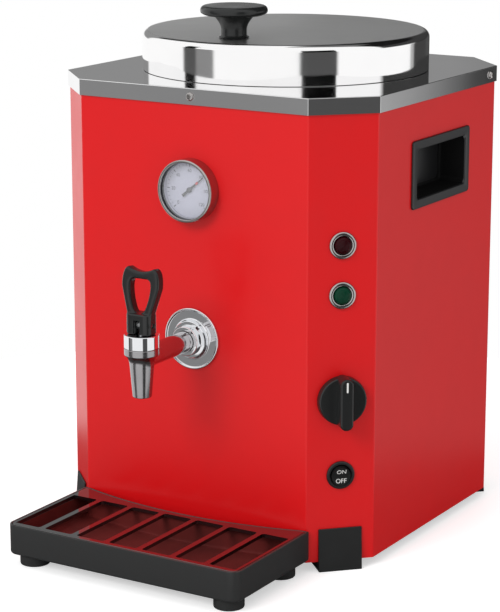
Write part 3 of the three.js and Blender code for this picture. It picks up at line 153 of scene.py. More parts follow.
class Graph:
    """Adds and joins the nodes of one node tree."""

    def __init__(self, tree: bpy.types.NodeTree) -> None:
        """Takes a tree and empties it."""
        self.tree = tree
        tree.nodes.clear()

    @classmethod
    def group(cls, name: str, kind: str, inputs: dict[str, str], outputs: dict[str, str]
              ) -> tuple["Graph", bpy.types.NodeOutputs]:
        """Starts a node group with named sockets.

        Args:
            name: the group's name.
            kind: the kind of tree.
            inputs: kind of each input socket, by name.
            outputs: kind of each output socket, by name.

        Returns:
            The group's graph, and the sockets that give what the group is given.
        """
        graph = cls(bpy.data.node_groups.new(name, kind))
        for way, sockets in (("INPUT", inputs), ("OUTPUT", outputs)):
            for label, socket in sockets.items():
                graph.tree.interface.new_socket(label, in_out=way, socket_type=f"NodeSocket{socket}")
        return graph, graph.add("NodeGroupInput").outputs

    def add(self, kind: str, inputs: Inputs = None, **settings: Any) -> bpy.types.Node:
        """Adds a node.

        Args:
            kind: the node's type.
            inputs: for each input, a plain value or the output socket that feeds it.
            **settings: properties of the node.

        Returns:
            The node.
        """
        node = self.tree.nodes.new(kind)
        for key, value in settings.items():
            setattr(node, key, value)
        for key, value in (inputs or {}).items():
            if isinstance(value, bpy.types.NodeSocket):
                self.tree.links.new(value, node.inputs[key])
            else:
                node.inputs[key].default_value = value
        return node

    def out(self, kind: str, inputs: Inputs = None, **settings: Any) -> bpy.types.NodeSocket:
        """Adds a node as add does, and returns its first output."""
        return self.add(kind, inputs, **settings).outputs[0]

    def math(self, operation: str, first: Any, second: Any = 0.0) -> bpy.types.NodeSocket:
        """Adds a Math node and returns its output."""
        return self.out("ShaderNodeMath", {0: first, 1: second}, operation=operation)

    def span(self, value: Any, low: float, high: float, to_low: float = 0.0, to_high: float = 1.0
             ) -> bpy.types.NodeSocket:
        """Adds a clamped Map Range node and returns its output."""
        names = ("From Min", "From Max", "To Min", "To Max")
        return self.out("ShaderNodeMapRange", {"Value": value, **dict(zip(names, (low, high, to_low, to_high)))})

    def ramp(self, factor: Any, stops: Sequence[Point]) -> bpy.types.NodeSocket:
        """Adds a Color Ramp of greys, with the place and level of each stop, and returns its colour."""
        node = self.add("ShaderNodeValToRGB", {0: factor})
        elements = node.color_ramp.elements
        while len(elements) > 1:
            elements.remove(elements[-1])
        for i, (position, level) in enumerate(stops):
            element = elements.new(position) if i else elements[0]
            element.position, element.color = position, grey(level)
        return node.outputs[0]

    def blend(self, factor: Any, first: Any, second: Any) -> bpy.types.NodeSocket:
        """Adds a colour Mix node and returns its output."""
        return self.add("ShaderNodeMix", {0: factor, 6: first, 7: second}, data_type="RGBA").outputs[2]

    def noise(self, vector: Any, scale: Any, detail: float = 3.0) -> bpy.types.NodeSocket:
        """Adds a Noise Texture and returns its value."""
        return self.out("ShaderNodeTexNoise", {"Vector": vector, "Scale": scale, "Detail": detail})


class Groups:
    """The shader node groups that several finishes share, each built once."""

    @staticmethod
    def wander() -> bpy.types.NodeTree:
        """Cloudy change of colour and roughness, as handling and cleaning leave it."""
        name = "surface_wander"
        if name in bpy.data.node_groups:
            return bpy.data.node_groups[name]
        graph, taken = Graph.group(
            name, "ShaderNodeTree",
            {"Vector": "Vector", "Colour": "Color", "Shade": "Float", "Roughness": "Float", "Spread": "Float"},
            {"Colour": "Color", "Roughness": "Float"},
        )
        noises = [graph.math("MULTIPLY", graph.noise(taken["Vector"], scale, detail), weight)
                  for scale, detail, weight in WANDER]
        level = graph.math("SINE", graph.math("MULTIPLY", graph.math("ADD", *noises), SWING))
        darker = graph.out("ShaderNodeHueSaturation", {"Value": graph.math("SUBTRACT", 1.0, taken["Shade"]),
                                                       "Color": taken["Colour"]})
        colour = graph.blend(graph.span(level, -1.0, 1.0), taken["Colour"], darker)
        rough = graph.math("ADD", taken["Roughness"], graph.math("MULTIPLY", level, taken["Spread"]))
        graph.add("NodeGroupOutput", {"Colour": colour, "Roughness": graph.span(rough, 0.0, 1.0)})
        return graph.tree

    @staticmethod
    def grain(kind: Grain) -> bpy.types.NodeTree:
        """Fine relief as a height from 0 to 1, of the kind asked for.

        Args:
            kind: speckle, or rings about the piece's Z axis.

        Returns:
            The group.
        """
        if kind.value in bpy.data.node_groups:
            return bpy.data.node_groups[kind.value]
        graph, taken = Graph.group(kind.value, "ShaderNodeTree", {"Vector": "Vector", "Scale": "Float"},
                                   {"Height": "Float"})
        vector, scale = taken["Vector"], taken["Scale"]
        if kind is Grain.SPECKLE:
            height = graph.noise(vector, scale, 2.0)
        else:
            split = graph.add("ShaderNodeSeparateXYZ", {0: vector}).outputs
            squares = [graph.math("MULTIPLY", split[i], split[i]) for i in (0, 1)]
            radius = graph.math("SQRT", graph.math("ADD", *squares))
            rings = {"W": graph.math("MULTIPLY", radius, scale), "Scale": 1.0, "Detail": 3.0}
            height = graph.out("ShaderNodeTexNoise", rings, noise_dimensions="1D")
        graph.add("NodeGroupOutput", {"Height": height})
        return graph.tree


@dataclass(frozen=True)
class Finish:
    """A surface finish: its plain values, and how its colour, roughness and grain change over it.

    Pitch and relief are the grain's width and depth in millimetres. The axis is a point of the grain's upright
    turning axis in the housing's frame.
    """

    name: str
    slot: str
    colour: Triple
    roughness: float
    metallic: float = 0.0
    specular: float = 0.5
    coat: float = 0.0
    coat_ior: float = 1.5
    alpha: float = 1.0
    grain: Grain = Grain.SPECKLE
    pitch: float = 0.6
    relief: float = 0.01
    shade: float = 0.06
    spread: float = 0.03
    axis: Triple = (0.0, 0.0, 0.0)

    def material(self) -> bpy.types.Material:
        """Gives this finish's material, which is built on its first use."""
        if self.name in bpy.data.materials:
            return bpy.data.materials[self.name]
        material = bpy.data.materials.new(self.name)
        material.use_nodes = True
        graph = Graph(material.node_tree)
        where = graph.add("ShaderNodeTexCoord").outputs["Object"]
        moved = graph.out("ShaderNodeVectorMath", {0: where, 1: TO_ROW @ Vector(self.axis)}, operation="SUBTRACT")
        wander = graph.add("ShaderNodeGroup", {
            "Vector": moved, "Colour": (*self.colour, 1.0), "Shade": self.shade, "Roughness": self.roughness,
            "Spread": self.spread,
        }, node_tree=Groups.wander()).outputs
        height = graph.out("ShaderNodeGroup", {"Vector": moved, "Scale": 1.0 / (self.pitch * MM)},
                           node_tree=Groups.grain(self.grain))
        bump = graph.out("ShaderNodeBump", {"Height": height, "Distance": self.relief * MM})
        shader = graph.out("ShaderNodeBsdfPrincipled", {
            "Base Color": wander["Colour"], "Roughness": wander["Roughness"], "Normal": bump,
            "Metallic": self.metallic, "Specular IOR Level": self.specular, "Coat Weight": self.coat,
            "Coat IOR": self.coat_ior, "Coat Roughness": COAT_ROUGHNESS, "Alpha": self.alpha,
        })
        graph.add("ShaderNodeOutputMaterial", {"Surface": shader})
        return material


RED_PAINT = Finish("red_baked_paint", "red_paint", (0.705, 0.006, 0.008), 0.3, specular=0.38, pitch=3.5, relief=0.002,
                   shade=0.025, spread=0.015)
LID_AXIS = (0.0, TANK_AXIS_Y, 0.0)
MIRROR = Finish("mirror_polished_steel", "mirror_steel", (0.88, 0.88, 0.885), 0.05, 1.0, pitch=2.5, relief=0.002,
                shade=0.02, spread=0.01)
SKIRT = Finish("polished_lid_skirt", "satin_steel", (0.96, 0.955, 0.955), 0.08, 1.0, pitch=2.5, relief=0.002,
               shade=0.02, spread=0.02, axis=LID_AXIS)
SPUN = Finish("spun_satin_steel", "satin_steel", (0.82, 0.82, 0.815), 0.29, 1.0, grain=Grain.RINGS, pitch=0.9,
              relief=0.003, shade=0.03, spread=0.01, axis=LID_AXIS)
TANK_STEEL = Finish("drawn_tank_steel", "satin_steel", (0.66, 0.66, 0.65), 0.3, 1.0, grain=Grain.RINGS, pitch=1.3,
                    relief=0.01, shade=0.05, spread=0.015, axis=LID_AXIS)
CHROME = Finish("chrome_plate", "chrome", (0.82, 0.83, 0.85), 0.06, 1.0, pitch=1.5, relief=0.001, shade=0.03,
                spread=0.02)
SPOUT_METAL = Finish("satin_cast_spout", "chrome", (0.37, 0.36, 0.37), 0.2, 1.0, pitch=0.8, relief=0.003, shade=0.1)
SHANK_METAL = Finish("polished_shank", "chrome", (0.52, 0.50, 0.51), 0.1, 1.0, pitch=1.5, relief=0.001, shade=0.05)
RING_METAL = Finish("satin_plated_ring", "chrome", (0.46, 0.44, 0.43), 0.18, 1.0, pitch=1.0, relief=0.002, shade=0.1)
ZINC = Finish("zinc_plate", "zinc_steel", (0.55, 0.56, 0.57), 0.38, 1.0, pitch=0.8, relief=0.006, shade=0.15,
              spread=0.1)
BLACK_PLASTIC = Finish("black_moulding", "black_plastic", (0.014, 0.014, 0.015), 0.34, pitch=0.7, relief=0.01,
                       shade=0.15)
BAKELITE = Finish("black_bakelite", "black_plastic", (0.015, 0.016, 0.016), 0.24, specular=0.4, pitch=2.0,
                  relief=0.004, shade=0.15)
GRIP_BLACK = Finish("grained_grip_black", "black_plastic", (0.004, 0.004, 0.004), 0.6, specular=0.2, pitch=0.5,
                    relief=0.02, shade=0.2)
MATT_BLACK = Finish("matt_foot_black", "black_plastic", (0.014, 0.015, 0.015), 0.55, pitch=0.5, relief=0.02, shade=0.25)
GLOSS_BLACK = Finish("gloss_tray_black", "gloss_black", (0.004, 0.004, 0.0045), 0.1, specular=0.8, coat=1.0,
                     coat_ior=1.9, pitch=3.0, relief=0.004, shade=0.3, spread=0.04)
TUB_BLACK = Finish("smooth_tray_black", "gloss_black", (0.028, 0.029, 0.029), 0.3, coat=0.2, pitch=3.0, relief=0.001,
                   shade=0.05, spread=0.02)
# The tray's well is really black. Its dark red is a painted reflection of the red front, which the glossy black well
# mirrors.
WELL_PAINTED_REFLECTION = Finish("tray_well_black", "gloss_black", (0.145, 0.019, 0.017), 0.6, specular=0.3, pitch=0.6, relief=0.006,
                   shade=0.3, spread=0.04)
DIAL_WHITE = Finish("dial_enamel", "dial_white", (0.52, 0.52, 0.63), 0.4, pitch=0.6, relief=0.002, shade=0.04)
DIAL_INK = Finish("dial_ink", "dial_white", (0.03, 0.03, 0.035), 0.5, pitch=0.4, relief=0.002)
MARK_RED = Finish("needle_red", "red_paint", (0.6, 0.02, 0.02), 0.35, pitch=0.5, relief=0.002)
MARK_WHITE = Finish("white_mark", "dial_white", (0.80, 0.80, 0.78), 0.5, pitch=0.4, relief=0.004)
REVEAL = Finish("blackened_reveal", "black_plastic", (0.012, 0.012, 0.013), 0.5, specular=0.3, pitch=0.5,
                relief=0.004, shade=0.2)
CLEAR = Finish("gauge_window", "clear_glass", (0.95, 0.97, 1.0), 0.03, alpha=0.14, pitch=6.0, relief=0.001, shade=0.02,
               spread=0.01)
RED_LENS = Finish("red_lamp_lens", "red_lens", (0.028, 0.001, 0.003), 0.2, specular=0.14, pitch=1.0, relief=0.01,
                  shade=0.3)
GREEN_LENS = Finish("green_lamp_lens", "green_lens", (0.002, 0.045, 0.022), 0.2, specular=0.14, pitch=1.0, relief=0.01,
                    shade=0.3)
SILICONE = Finish("food_silicone", "silicone", (0.55, 0.52, 0.48), 0.6, pitch=0.8, relief=0.01)
WOOL = Finish("matted_mineral_wool", "mineral_wool", (0.60, 0.50, 0.27), 0.95, pitch=1.2, relief=0.6, shade=0.35)
CERAMIC = Finish("glazed_ceramic", "ceramic", (0.72, 0.68, 0.60), 0.32, coat=0.4, pitch=2.0, relief=0.02)


def arc(centre: Point, radius: float, start: float, end: float, steps: int = 8) -> list[Point]:
    """Gives the points of an arc, both ends included.

    Args:
        centre: the arc's centre.
        radius: its radius.
        start: the first point's angle in degrees.
        end: the last point's angle in degrees.
        steps: number of straight steps.

    Returns:
        The points, in order.
    """
    angles = [math.radians(start + (end - start) * i / steps) for i in range(steps + 1)]
    return [(centre[0] + radius * math.cos(a), centre[1] + radius * math.sin(a)) for a in angles]


def circle(radius: float, facets: int = 96, centre: Point = (0.0, 0.0)) -> list[Point]:
    """Gives the points of a circle."""
    return arc(centre, radius, 0.0, 360.0, facets)[:-1]


def fillet(corners: Sequence[tuple[float, float, float]], steps: int = 5, closed: bool = True) -> list[Point]:
    """Rounds the corners of a flat path.

    Args:
        corners: X, Y and rounding radius of each corner; a radius of 0 keeps it sharp.
        steps: straight steps in each rounding.
        closed: whether the path returns to its start; an open path keeps its two ends.

    Returns:
        The rounded path's points.
    """
    path: list[Point] = []
    for i, (x, y, radius) in enumerate(corners):
        if radius <= 0.0 or (not closed and i in (0, len(corners) - 1)):
            path.append((x, y))
            continue
        here = Vector((x, y))
        before = (Vector(corners[i - 1][:2]) - here).normalized()
        after = (Vector(corners[(i + 1) % len(corners)][:2]) - here).normalized()
        half = before.angle(after) / 2
        centre = here + (before + after).normalized() * (radius / math.sin(half))
        start = here + before * (radius / math.tan(half)) - centre
        end = here + after * (radius / math.tan(half)) - centre
        first = math.degrees(math.atan2(start.y, start.x))
        sweep = (math.degrees(math.atan2(end.y, end.x)) - first + 180.0) % 360.0 - 180.0
        path += arc((centre.x, centre.y), radius, first, first + sweep, steps)
    return path


def rounded_rectangle(width: float, height: float, corner: float, steps: int = 6) -> list[Point]:
    """Gives a rectangle about the origin with rounded corners."""
    x, y = width / 2, height / 2
    return fillet([(-x, -y, corner), (x, -y, corner), (x, y, corner), (-x, y, corner)], steps)


def quadratic(start: Point, pull: Point, end: Point, steps: int = 12) -> list[Point]:
    """Gives the points of a quadratic curve after its start."""
    points = []
    for i in range(1, steps + 1):
        t = i / steps
        a, b, c = (1 - t) ** 2, 2 * t * (1 - t), t * t
        points.append((a * start[0] + b * pull[0] + c * end[0], a * start[1] + b * pull[1] + c * end[1]))
    return points


def mirrored(points: Sequence[Point]) -> list[Point]:
    """Gives the points' mirror images across the middle, last one first."""
    return [(-x, y) for x, y in reversed(points)]


def shift(x: float = 0.0, y: float = 0.0, z: float = 0.0) -> Matrix:
    """Gives a matrix that moves along X, Y and Z."""
    return Matrix.Translation((x, y, z))


def spin(degrees: float, axis: str = "Z") -> Matrix:
    """Gives a matrix that turns about an axis."""
    return Matrix.Rotation(math.radians(degrees), 4, axis)


def across(y: float = 0.0, z: float = 0.0) -> Matrix:
    """Gives the frame of what lies along X, at a Y and a height."""
    return Matrix(((0, 0, 1, 0), (1, 0, 0, y), (0, 1, 0, z), (0, 0, 0, 1)))


def corner_cut(inset: float) -> float:
    """Gives the length that a corner face takes from each wall at an inset."""
    return CORNER_CUT - inset * (2 - math.sqrt(2))


def housing_plan(inset: float, bend: float) -> list[Point]:
    """Gives the housing's plan with its four cut corners.

    Args:
        inset: how far the plan moves inwards, or outwards when negative.
        bend: rounding radius of the sheet's bends.

    Returns:
        The plan's points, as many for every inset.
    """
    x, y, cut = HALF_WIDTH - inset, HALF_DEPTH - inset, corner_cut(inset)
    corners = [(-x + cut, -y), (x - cut, -y), (x, -y + cut), (x, y - cut), (x - cut, y), (-x + cut, y), (-x, y - cut),
               (-x, -y + cut)]
    return fillet([(*corner, bend) for corner in corners])


class Form:
    """A mesh in millimetres that is built up from loops of points."""

    def __init__(self) -> None:
        """Starts with nothing."""
        self.bm = bmesh.new()

    def loop(self, points: Iterable[Sequence[float]]) -> Loop:
        """Adds the points of one loop."""
        return [self.bm.verts.new(point) for point in points]

    def skin(self, first: Loop, second: Loop, finish: int = 0, closed: bool = True) -> None:
        """Joins two loops by faces; a loop of one point is a pole.

        Args:
            first: one loop.
            second: a loop of as many points, or of one.
            finish: the faces' finish index.
            closed: whether the loops return to their start.
        """
        count = max(len(first), len(second))
        for i in range(count if closed else count - 1):
            j = (i + 1) % count
            corners = [first[i % len(first)], first[j % len(first)], second[j % len(second)], second[i % len(second)]]
            unique = list(dict.fromkeys(corners))
            if len(unique) > 2:
                self.bm.faces.new(unique).material_index = finish

    def cap(self, loop: Loop, finish: int = 0) -> None:
        """Closes a loop with one face."""
        if len(loop) > 2:
            self.bm.faces.new(loop).material_index = finish

    def stack(self, loops: list[Loop], finishes: Optional[Sequence[int]] = None) -> list[Loop]:
        """Skins each loop to the next.

        Args:
            loops: the loops, in order.
            finishes: finish index of each step from one loop to the next.

        Returns:
            The loops.
        """
        for i, (first, second) in enumerate(zip(loops, loops[1:])):
            self.skin(first, second, finishes[i] if finishes else 0)
        return loops

    def tiers(self, outline: Callable[[float], list[Point]], profile: Sequence[Point],
              finishes: Optional[Sequence[int]] = None, capped: tuple[bool, bool] = (True, True)) -> list[Loop]:
        """Stacks one outline at several insets and heights, and skins them in order.

        Args:
            outline: gives the outline at an inset, with as many points for every inset.
            profile: inset and height of each tier.
            finishes: finish index of each step from one tier to the next.
            capped: whether the first and the last tier are closed.

        Returns:
            The loops, in order.
        """
        loops = [self.loop((x, y, height) for x, y in outline(inset)) for inset, height in profile]
        self.stack(loops, finishes)
        for wanted, loop in zip(capped, (loops[0], loops[-1])):
            if wanted:
                self.cap(loop)
        return loops

    def turn(self, profile: Sequence[Point], facets: int = 96, finishes: Optional[Sequence[int]] = None) -> "Form":
        """Turns a profile about Z.

        Args:
            profile: radius and height of each point. It closes on the axis or on itself.
            facets: number of facets round the axis.
            finishes: finish index of each step of the profile.

        Returns:
            This form.
        """
        self.stack([self.loop((x, y, height) for x, y in (circle(radius, facets) if radius else [(0.0, 0.0)]))
                    for radius, height in profile], finishes)
        return self

    def take(self, mesh: bpy.types.Mesh, place: Optional[Matrix] = None, finish: Optional[int] = None) -> "Form":
        """Takes in another mesh.

        Args:
            mesh: the mesh, which is left as it is.
            place: where it goes.
            finish: finish index for all its faces.

        Returns:
            This form.
        """
        copy = mesh.copy()
        copy.transform(place or shift())
        known = len(self.bm.faces)
        self.bm.from_mesh(copy)
        self.bm.faces.ensure_lookup_table()
        if finish is not None:
            for face in self.bm.faces[known:]:
                face.material_index = finish
        bpy.data.meshes.remove(copy)
        return self

    def mesh(self) -> bpy.types.Mesh:
        """Merges doubled points, turns the faces outwards and gives the plain mesh."""
        bmesh.ops.remove_doubles(self.bm, verts=self.bm.verts, dist=1e-4)
        bmesh.ops.dissolve_degenerate(self.bm, edges=self.bm.edges, dist=1e-5)
        bmesh.ops.recalc_face_normals(self.bm, faces=self.bm.faces)
        mesh = bpy.data.meshes.new("form")
        for _ in range(1 + max((face.material_index for face in self.bm.faces), default=0)):
            mesh.materials.append(None)
        self.bm.to_mesh(mesh)
        self.bm.free()
        return mesh


class Workshop:
    """Shapes meshes with Blender's own tools, and stands finished pieces in the scene."""

    @staticmethod
    def hold(mesh: bpy.types.ID, name: str = "workpiece") -> bpy.types.Object:
        """Puts a mesh or curve into the scene for a moment."""
        holder = bpy.data.objects.new(name, mesh)
        bpy.context.scene.collection.objects.link(holder)
        return holder

    @staticmethod
    def settled(holder: bpy.types.Object) -> bpy.types.Mesh:
        """Gives what a held object evaluates to as a plain mesh, and takes the object away."""
        result = bpy.data.meshes.new_from_object(holder.evaluated_get(bpy.context.evaluated_depsgraph_get()))
        bpy.data.objects.remove(holder)
        return result

    @classmethod
    def shaped(cls, mesh: bpy.types.Mesh, *steps: tuple[str, dict[str, Any]]) -> bpy.types.Mesh:
        """Runs a mesh through modifiers.

        Args:
            mesh: the mesh.
            *steps: kind and settings of each modifier.

        Returns:
            The shaped mesh.
        """
        holder = cls.hold(mesh)
        for kind, settings in steps:
            modifier = holder.modifiers.new(kind.lower(), kind)
            for key, value in settings.items():
                setattr(modifier, key, value)
        return cls.settled(holder)

    @classmethod
    def carved(cls, mesh: bpy.types.Mesh, tools: Iterable[bpy.types.Mesh], how: str = "DIFFERENCE") -> bpy.types.Mesh:
        """Cuts tools out of a mesh, or joins them to it.

        Args:
            mesh: the mesh.
            tools: closed meshes.
            how: the boolean operation.

        Returns:
            The carved mesh.
        """
        for tool in tools:
            cutter = cls.hold(tool, "cutter")
            mesh = cls.shaped(mesh, ("BOOLEAN", {"operation": how, "solver": "EXACT", "object": cutter}))
            bpy.data.objects.remove(cutter)
        return mesh

    @classmethod
    def plate(cls, outlines: Sequence[Sequence[Point]], low: float, high: float, edge: float = 0.0,
              place: Optional[Matrix] = None) -> bpy.types.Mesh:
        """Makes a flat plate from outlines, the inner ones being holes.

        Args:
            outlines: the outlines' points.
            low: height of the underside.
            high: height of the top.
            edge: rounding radius of the edges, inside the outline.
            place: where the plate goes.

        Returns:
            The closed mesh.
        """
        curve = bpy.data.curves.new("plate", "CURVE")
        curve.dimensions, curve.fill_mode = "2D", "BOTH"
        for points in outlines:
            spline = curve.splines.new("POLY")
            spline.points.add(len(points) - 1)
            for target, (x, y) in zip(spline.points, points):
                target.co = (x, y, 0.0, 1.0)
            spline.use_cyclic_u = True
        curve.extrude = (high - low) / 2 - edge
        curve.bevel_depth, curve.bevel_resolution, curve.offset = edge, 3, -edge
        mesh = cls.settled(cls.hold(curve))
        return Form().take(mesh, (place or shift()) @ shift(z=(low + high) / 2)).mesh()

    @classmethod
    def rod(cls, radius: float, low: float, high: float, place: Optional[Matrix] = None, facets: int = 48
            ) -> bpy.types.Mesh:
        """Makes a round rod along Z.

        Args:
            radius: its radius.
            low: height of its lower end.
            high: height of its upper end.
            place: where the rod goes.
            facets: number of facets round it.

        Returns:
            The closed mesh.
        """
        return cls.plate([circle(radius, facets)], low, high, place=place)

    @staticmethod
    def turned(profile: Sequence[Point], facets: int = 96, finishes: Optional[Sequence[int]] = None) -> bpy.types.Mesh:
        """Makes a turned solid, as Form.turn does."""
        return Form().turn(profile, facets, finishes).mesh()

    @classmethod
    def eased(cls, mesh: bpy.types.Mesh, width: float, angle: float) -> bpy.types.Mesh:
        """Rounds the edges that turn by more than an angle in degrees."""
        return cls.shaped(mesh, ("BEVEL", {"width": width, "segments": 3, "limit_method": "ANGLE",
                                           "angle_limit": math.radians(angle)}))

    @classmethod
    def lettering(cls, text: str, size: float, depth: float, place: Matrix) -> bpy.types.Mesh:
        """Makes raised characters centred on the origin.

        Args:
            text: plain numbers or a short generic word.
            size: height of the type.
            depth: how thick the characters are.
            place: where they go, with +Z out of the surface.

        Returns:
            The mesh.
        """
        curve = bpy.data.curves.new("figure", "FONT")
        curve.body, curve.size, curve.extrude = text, size, depth / 2
        curve.align_x, curve.align_y = "CENTER", "CENTER"
        return Form().take(cls.settled(cls.hold(curve)), place).mesh()

    @classmethod
    def stand(cls, name: str, mesh: bpy.types.Mesh, finishes: Sequence[Finish], body: str, *nodes: str,
              place: Optional[Matrix] = None, sharp: float = 34.0) -> bpy.types.Object:
        """Stands a finished piece in the row frame, riding its body.

        Args:
            name: the piece's name.
            mesh: its mesh in millimetres.
            finishes: the finishes that the mesh's indices name.
            body: the body that it rides.
            *nodes: the CAD nodes that it replaces.
            place: where the mesh goes in the housing's frame.
            sharp: angle in degrees over which an edge shows as an edge.

        Returns:
            The piece's object.
        """
        mesh.transform(TO_ROW @ (place or shift()))
        mesh.polygons.foreach_set("use_smooth", [True] * len(mesh.polygons))
        mesh.set_sharp_from_angle(angle=math.radians(sharp))
        for i, finish in enumerate(finishes):
            if i >= len(mesh.materials):
                mesh.materials.append(None)
            mesh.materials[i] = finish.material()
        mesh = cls.shaped(mesh, ("WEIGHTED_NORMAL", {"keep_sharp": True, "weight": 50}))
        mesh.name = name
        piece = cls.hold(mesh, name)
        if nodes:
            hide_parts(*nodes)
        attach(piece, body)
        LOG.info("%s rides %s with %d faces", name, body, len(mesh.polygons))
        return piece

    @staticmethod
    def keep(finish: Finish, *nodes: str) -> None:
        """Gives carried-over CAD nodes a finish.

        Args:
            finish: the finish.
            *nodes: the nodes' names.
        """
        for node in nodes:
            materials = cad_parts[node].data.materials
            materials.clear()
            materials.append(finish.material())
            LOG.info("%s keeps its CAD solid", node)


class Repeats:
    """The Geometry Nodes trees for what repeats or follows a path."""

    @staticmethod
    def _start(name: str, sockets: dict[str, str]) -> tuple[Graph, bpy.types.NodeOutputs]:
        """Starts a tree that takes and gives geometry, and that has some more input sockets."""
        shape = {"Geometry": "Geometry"}
        return Graph.group(name, "GeometryNodeTree", {**shape, **sockets}, shape)

    @staticmethod
    def _end(graph: Graph, geometry: bpy.types.NodeSocket, finish: bpy.types.NodeSocket) -> None:
        """Ends a tree in Realize Instances and Set Material."""
        whole = graph.out("GeometryNodeRealizeInstances", {0: geometry})
        dressed = graph.out("GeometryNodeSetMaterial", {"Geometry": whole, "Material": finish})
        graph.add("NodeGroupOutput", {0: dressed})

    @classmethod
    def run(cls, mesh: bpy.types.Mesh, tree: bpy.types.NodeTree, **values: Any) -> bpy.types.Mesh:
        """Runs a tree on a mesh and gives the plain result.

        Args:
            mesh: the mesh that the tree starts from.
            tree: the tree.
            **values: the tree's inputs by name, with underscores for spaces.

        Returns:
            The resulting mesh, with doubled points merged.
        """
        holder = Workshop.hold(mesh)
        modifier = holder.modifiers.new(tree.name, "NODES")
        modifier.node_group = tree
        for item in tree.interface.items_tree:
            key = item.name.replace(" ", "_").lower()
            if item.in_out == "INPUT" and key in values:
                modifier[item.identifier] = values[key]
        return Form().take(Workshop.settled(holder), finish=0).mesh()

    @classmethod
    def copies(cls, shape: bpy.types.Mesh, places: Sequence[Matrix], finish: Finish) -> bpy.types.Mesh:
        """Sets a copy of one shape at each of several places.

        Args:
            shape: the shape, in millimetres.
            places: a matrix for each copy.
            finish: the copies' finish.

        Returns:
            All the copies as one mesh.
        """
        name = "copies_on_points"
        tree = bpy.data.node_groups.get(name)
        if tree is None:
            graph, taken = cls._start(name, {"Copy": "Object", "Finish": "Material"})
            tree = graph.tree
            copied = graph.add("GeometryNodeObjectInfo", {"Object": taken["Copy"]}).outputs["Geometry"]
            turn = graph.out("GeometryNodeInputNamedAttribute", {"Name": "turn"}, data_type="FLOAT_VECTOR")
            spread = graph.out("GeometryNodeInstanceOnPoints",
                               {"Points": taken["Geometry"], "Instance": copied, "Rotation": turn})
            cls._end(graph, spread, taken["Finish"])
        points = bpy.data.meshes.new("places")
        points.from_pydata([place.to_translation() for place in places], [], [])
        turns = points.attributes.new("turn", "FLOAT_VECTOR", "POINT")
        for value, place in zip(turns.data, places):
            value.vector = place.to_euler()
        source = Workshop.hold(shape, "copied_shape")
        result = cls.run(points, tree, copy=source, finish=finish.material())
        bpy.data.objects.remove(source)
        return result

    @classmethod
    def slotted(cls, plate: bpy.types.Mesh, **values: Any) -> bpy.types.Mesh:
        """Cuts a grid of round-ended slots through a flat plate.

        Args:
            plate: the plate, flat in X and Y.
            **values: slot_width, slot_height, corner, columns, rows, step_x, step_y, middle, depth, reach and
                finish.

        Returns:
            The slotted plate.
        """
        name = "slotted_plate"
        tree = bpy.data.node_groups.get(name)
        if tree is None:
            kinds = {"Columns": "Int", "Rows": "Int", "Middle": "Vector", "Finish": "Material"}
            labels = ("Slot Width", "Slot Height", "Corner", "Columns", "Rows", "Step X", "Step Y", "Middle", "Depth",
                      "Reach", "Finish")
            graph, out = cls._start(name, {label: kinds.get(label, "Float") for label in labels})
            tree = graph.tree
            shape = graph.out("GeometryNodeCurvePrimitiveQuadrilateral",
                              {"Width": out["Slot Width"], "Height": out["Slot Height"]})
            eased = graph.out("GeometryNodeFilletCurve", {"Curve": shape, "Radius": out["Corner"], "Count": 5},
                              mode="POLY")
            face = graph.out("GeometryNodeFillCurve", {"Curve": eased}, mode="NGONS")
            up = graph.out("ShaderNodeCombineXYZ", {"Z": 1.0})
            raised = graph.out("GeometryNodeExtrudeMesh",
                               {"Mesh": face, "Offset": up, "Offset Scale": out["Depth"], "Individual": False})
            under = graph.out("GeometryNodeFlipFaces", {"Mesh": face})
            both = graph.add("GeometryNodeJoinGeometry")
            for part in (raised, under):
                graph.tree.links.new(part, both.inputs[0])
            tool = graph.out("GeometryNodeMergeByDistance", {"Geometry": both.outputs[0], "Distance": 0.001})
            sizes = [graph.math("MULTIPLY", out[step], graph.math("SUBTRACT", out[count], 1.0))
                     for step, count in (("Step X", "Columns"), ("Step Y", "Rows"))]
            grid = graph.out("GeometryNodeMeshGrid", {"Size X": sizes[0], "Size Y": sizes[1],
                                                      "Vertices X": out["Columns"], "Vertices Y": out["Rows"]})
            spread = graph.out("GeometryNodeInstanceOnPoints", {"Points": grid, "Instance": tool})
            placed = graph.out("GeometryNodeTransform", {"Geometry": spread, "Translation": out["Middle"]})
            tools = graph.out("GeometryNodeRealizeInstances", {0: placed})
            limit = graph.out("ShaderNodeCombineXYZ", {0: graph.math("MULTIPLY", out["Reach"], 2.0), 1: FAR, 2: FAR})
            bound = graph.out("GeometryNodeMeshCube", {"Size": limit})
            kept = graph.add("GeometryNodeMeshBoolean", operation="INTERSECT", solver="EXACT")
            for part in (tools, bound):
                graph.tree.links.new(part, kept.inputs["Mesh 2"])
            cut = graph.out("GeometryNodeMeshBoolean", {"Mesh 1": out["Geometry"], "Mesh 2": kept.outputs[0]},
                            operation="DIFFERENCE", solver="EXACT")
            cls._end(graph, cut, out["Finish"])
        return cls.run(plate, tree, **values)

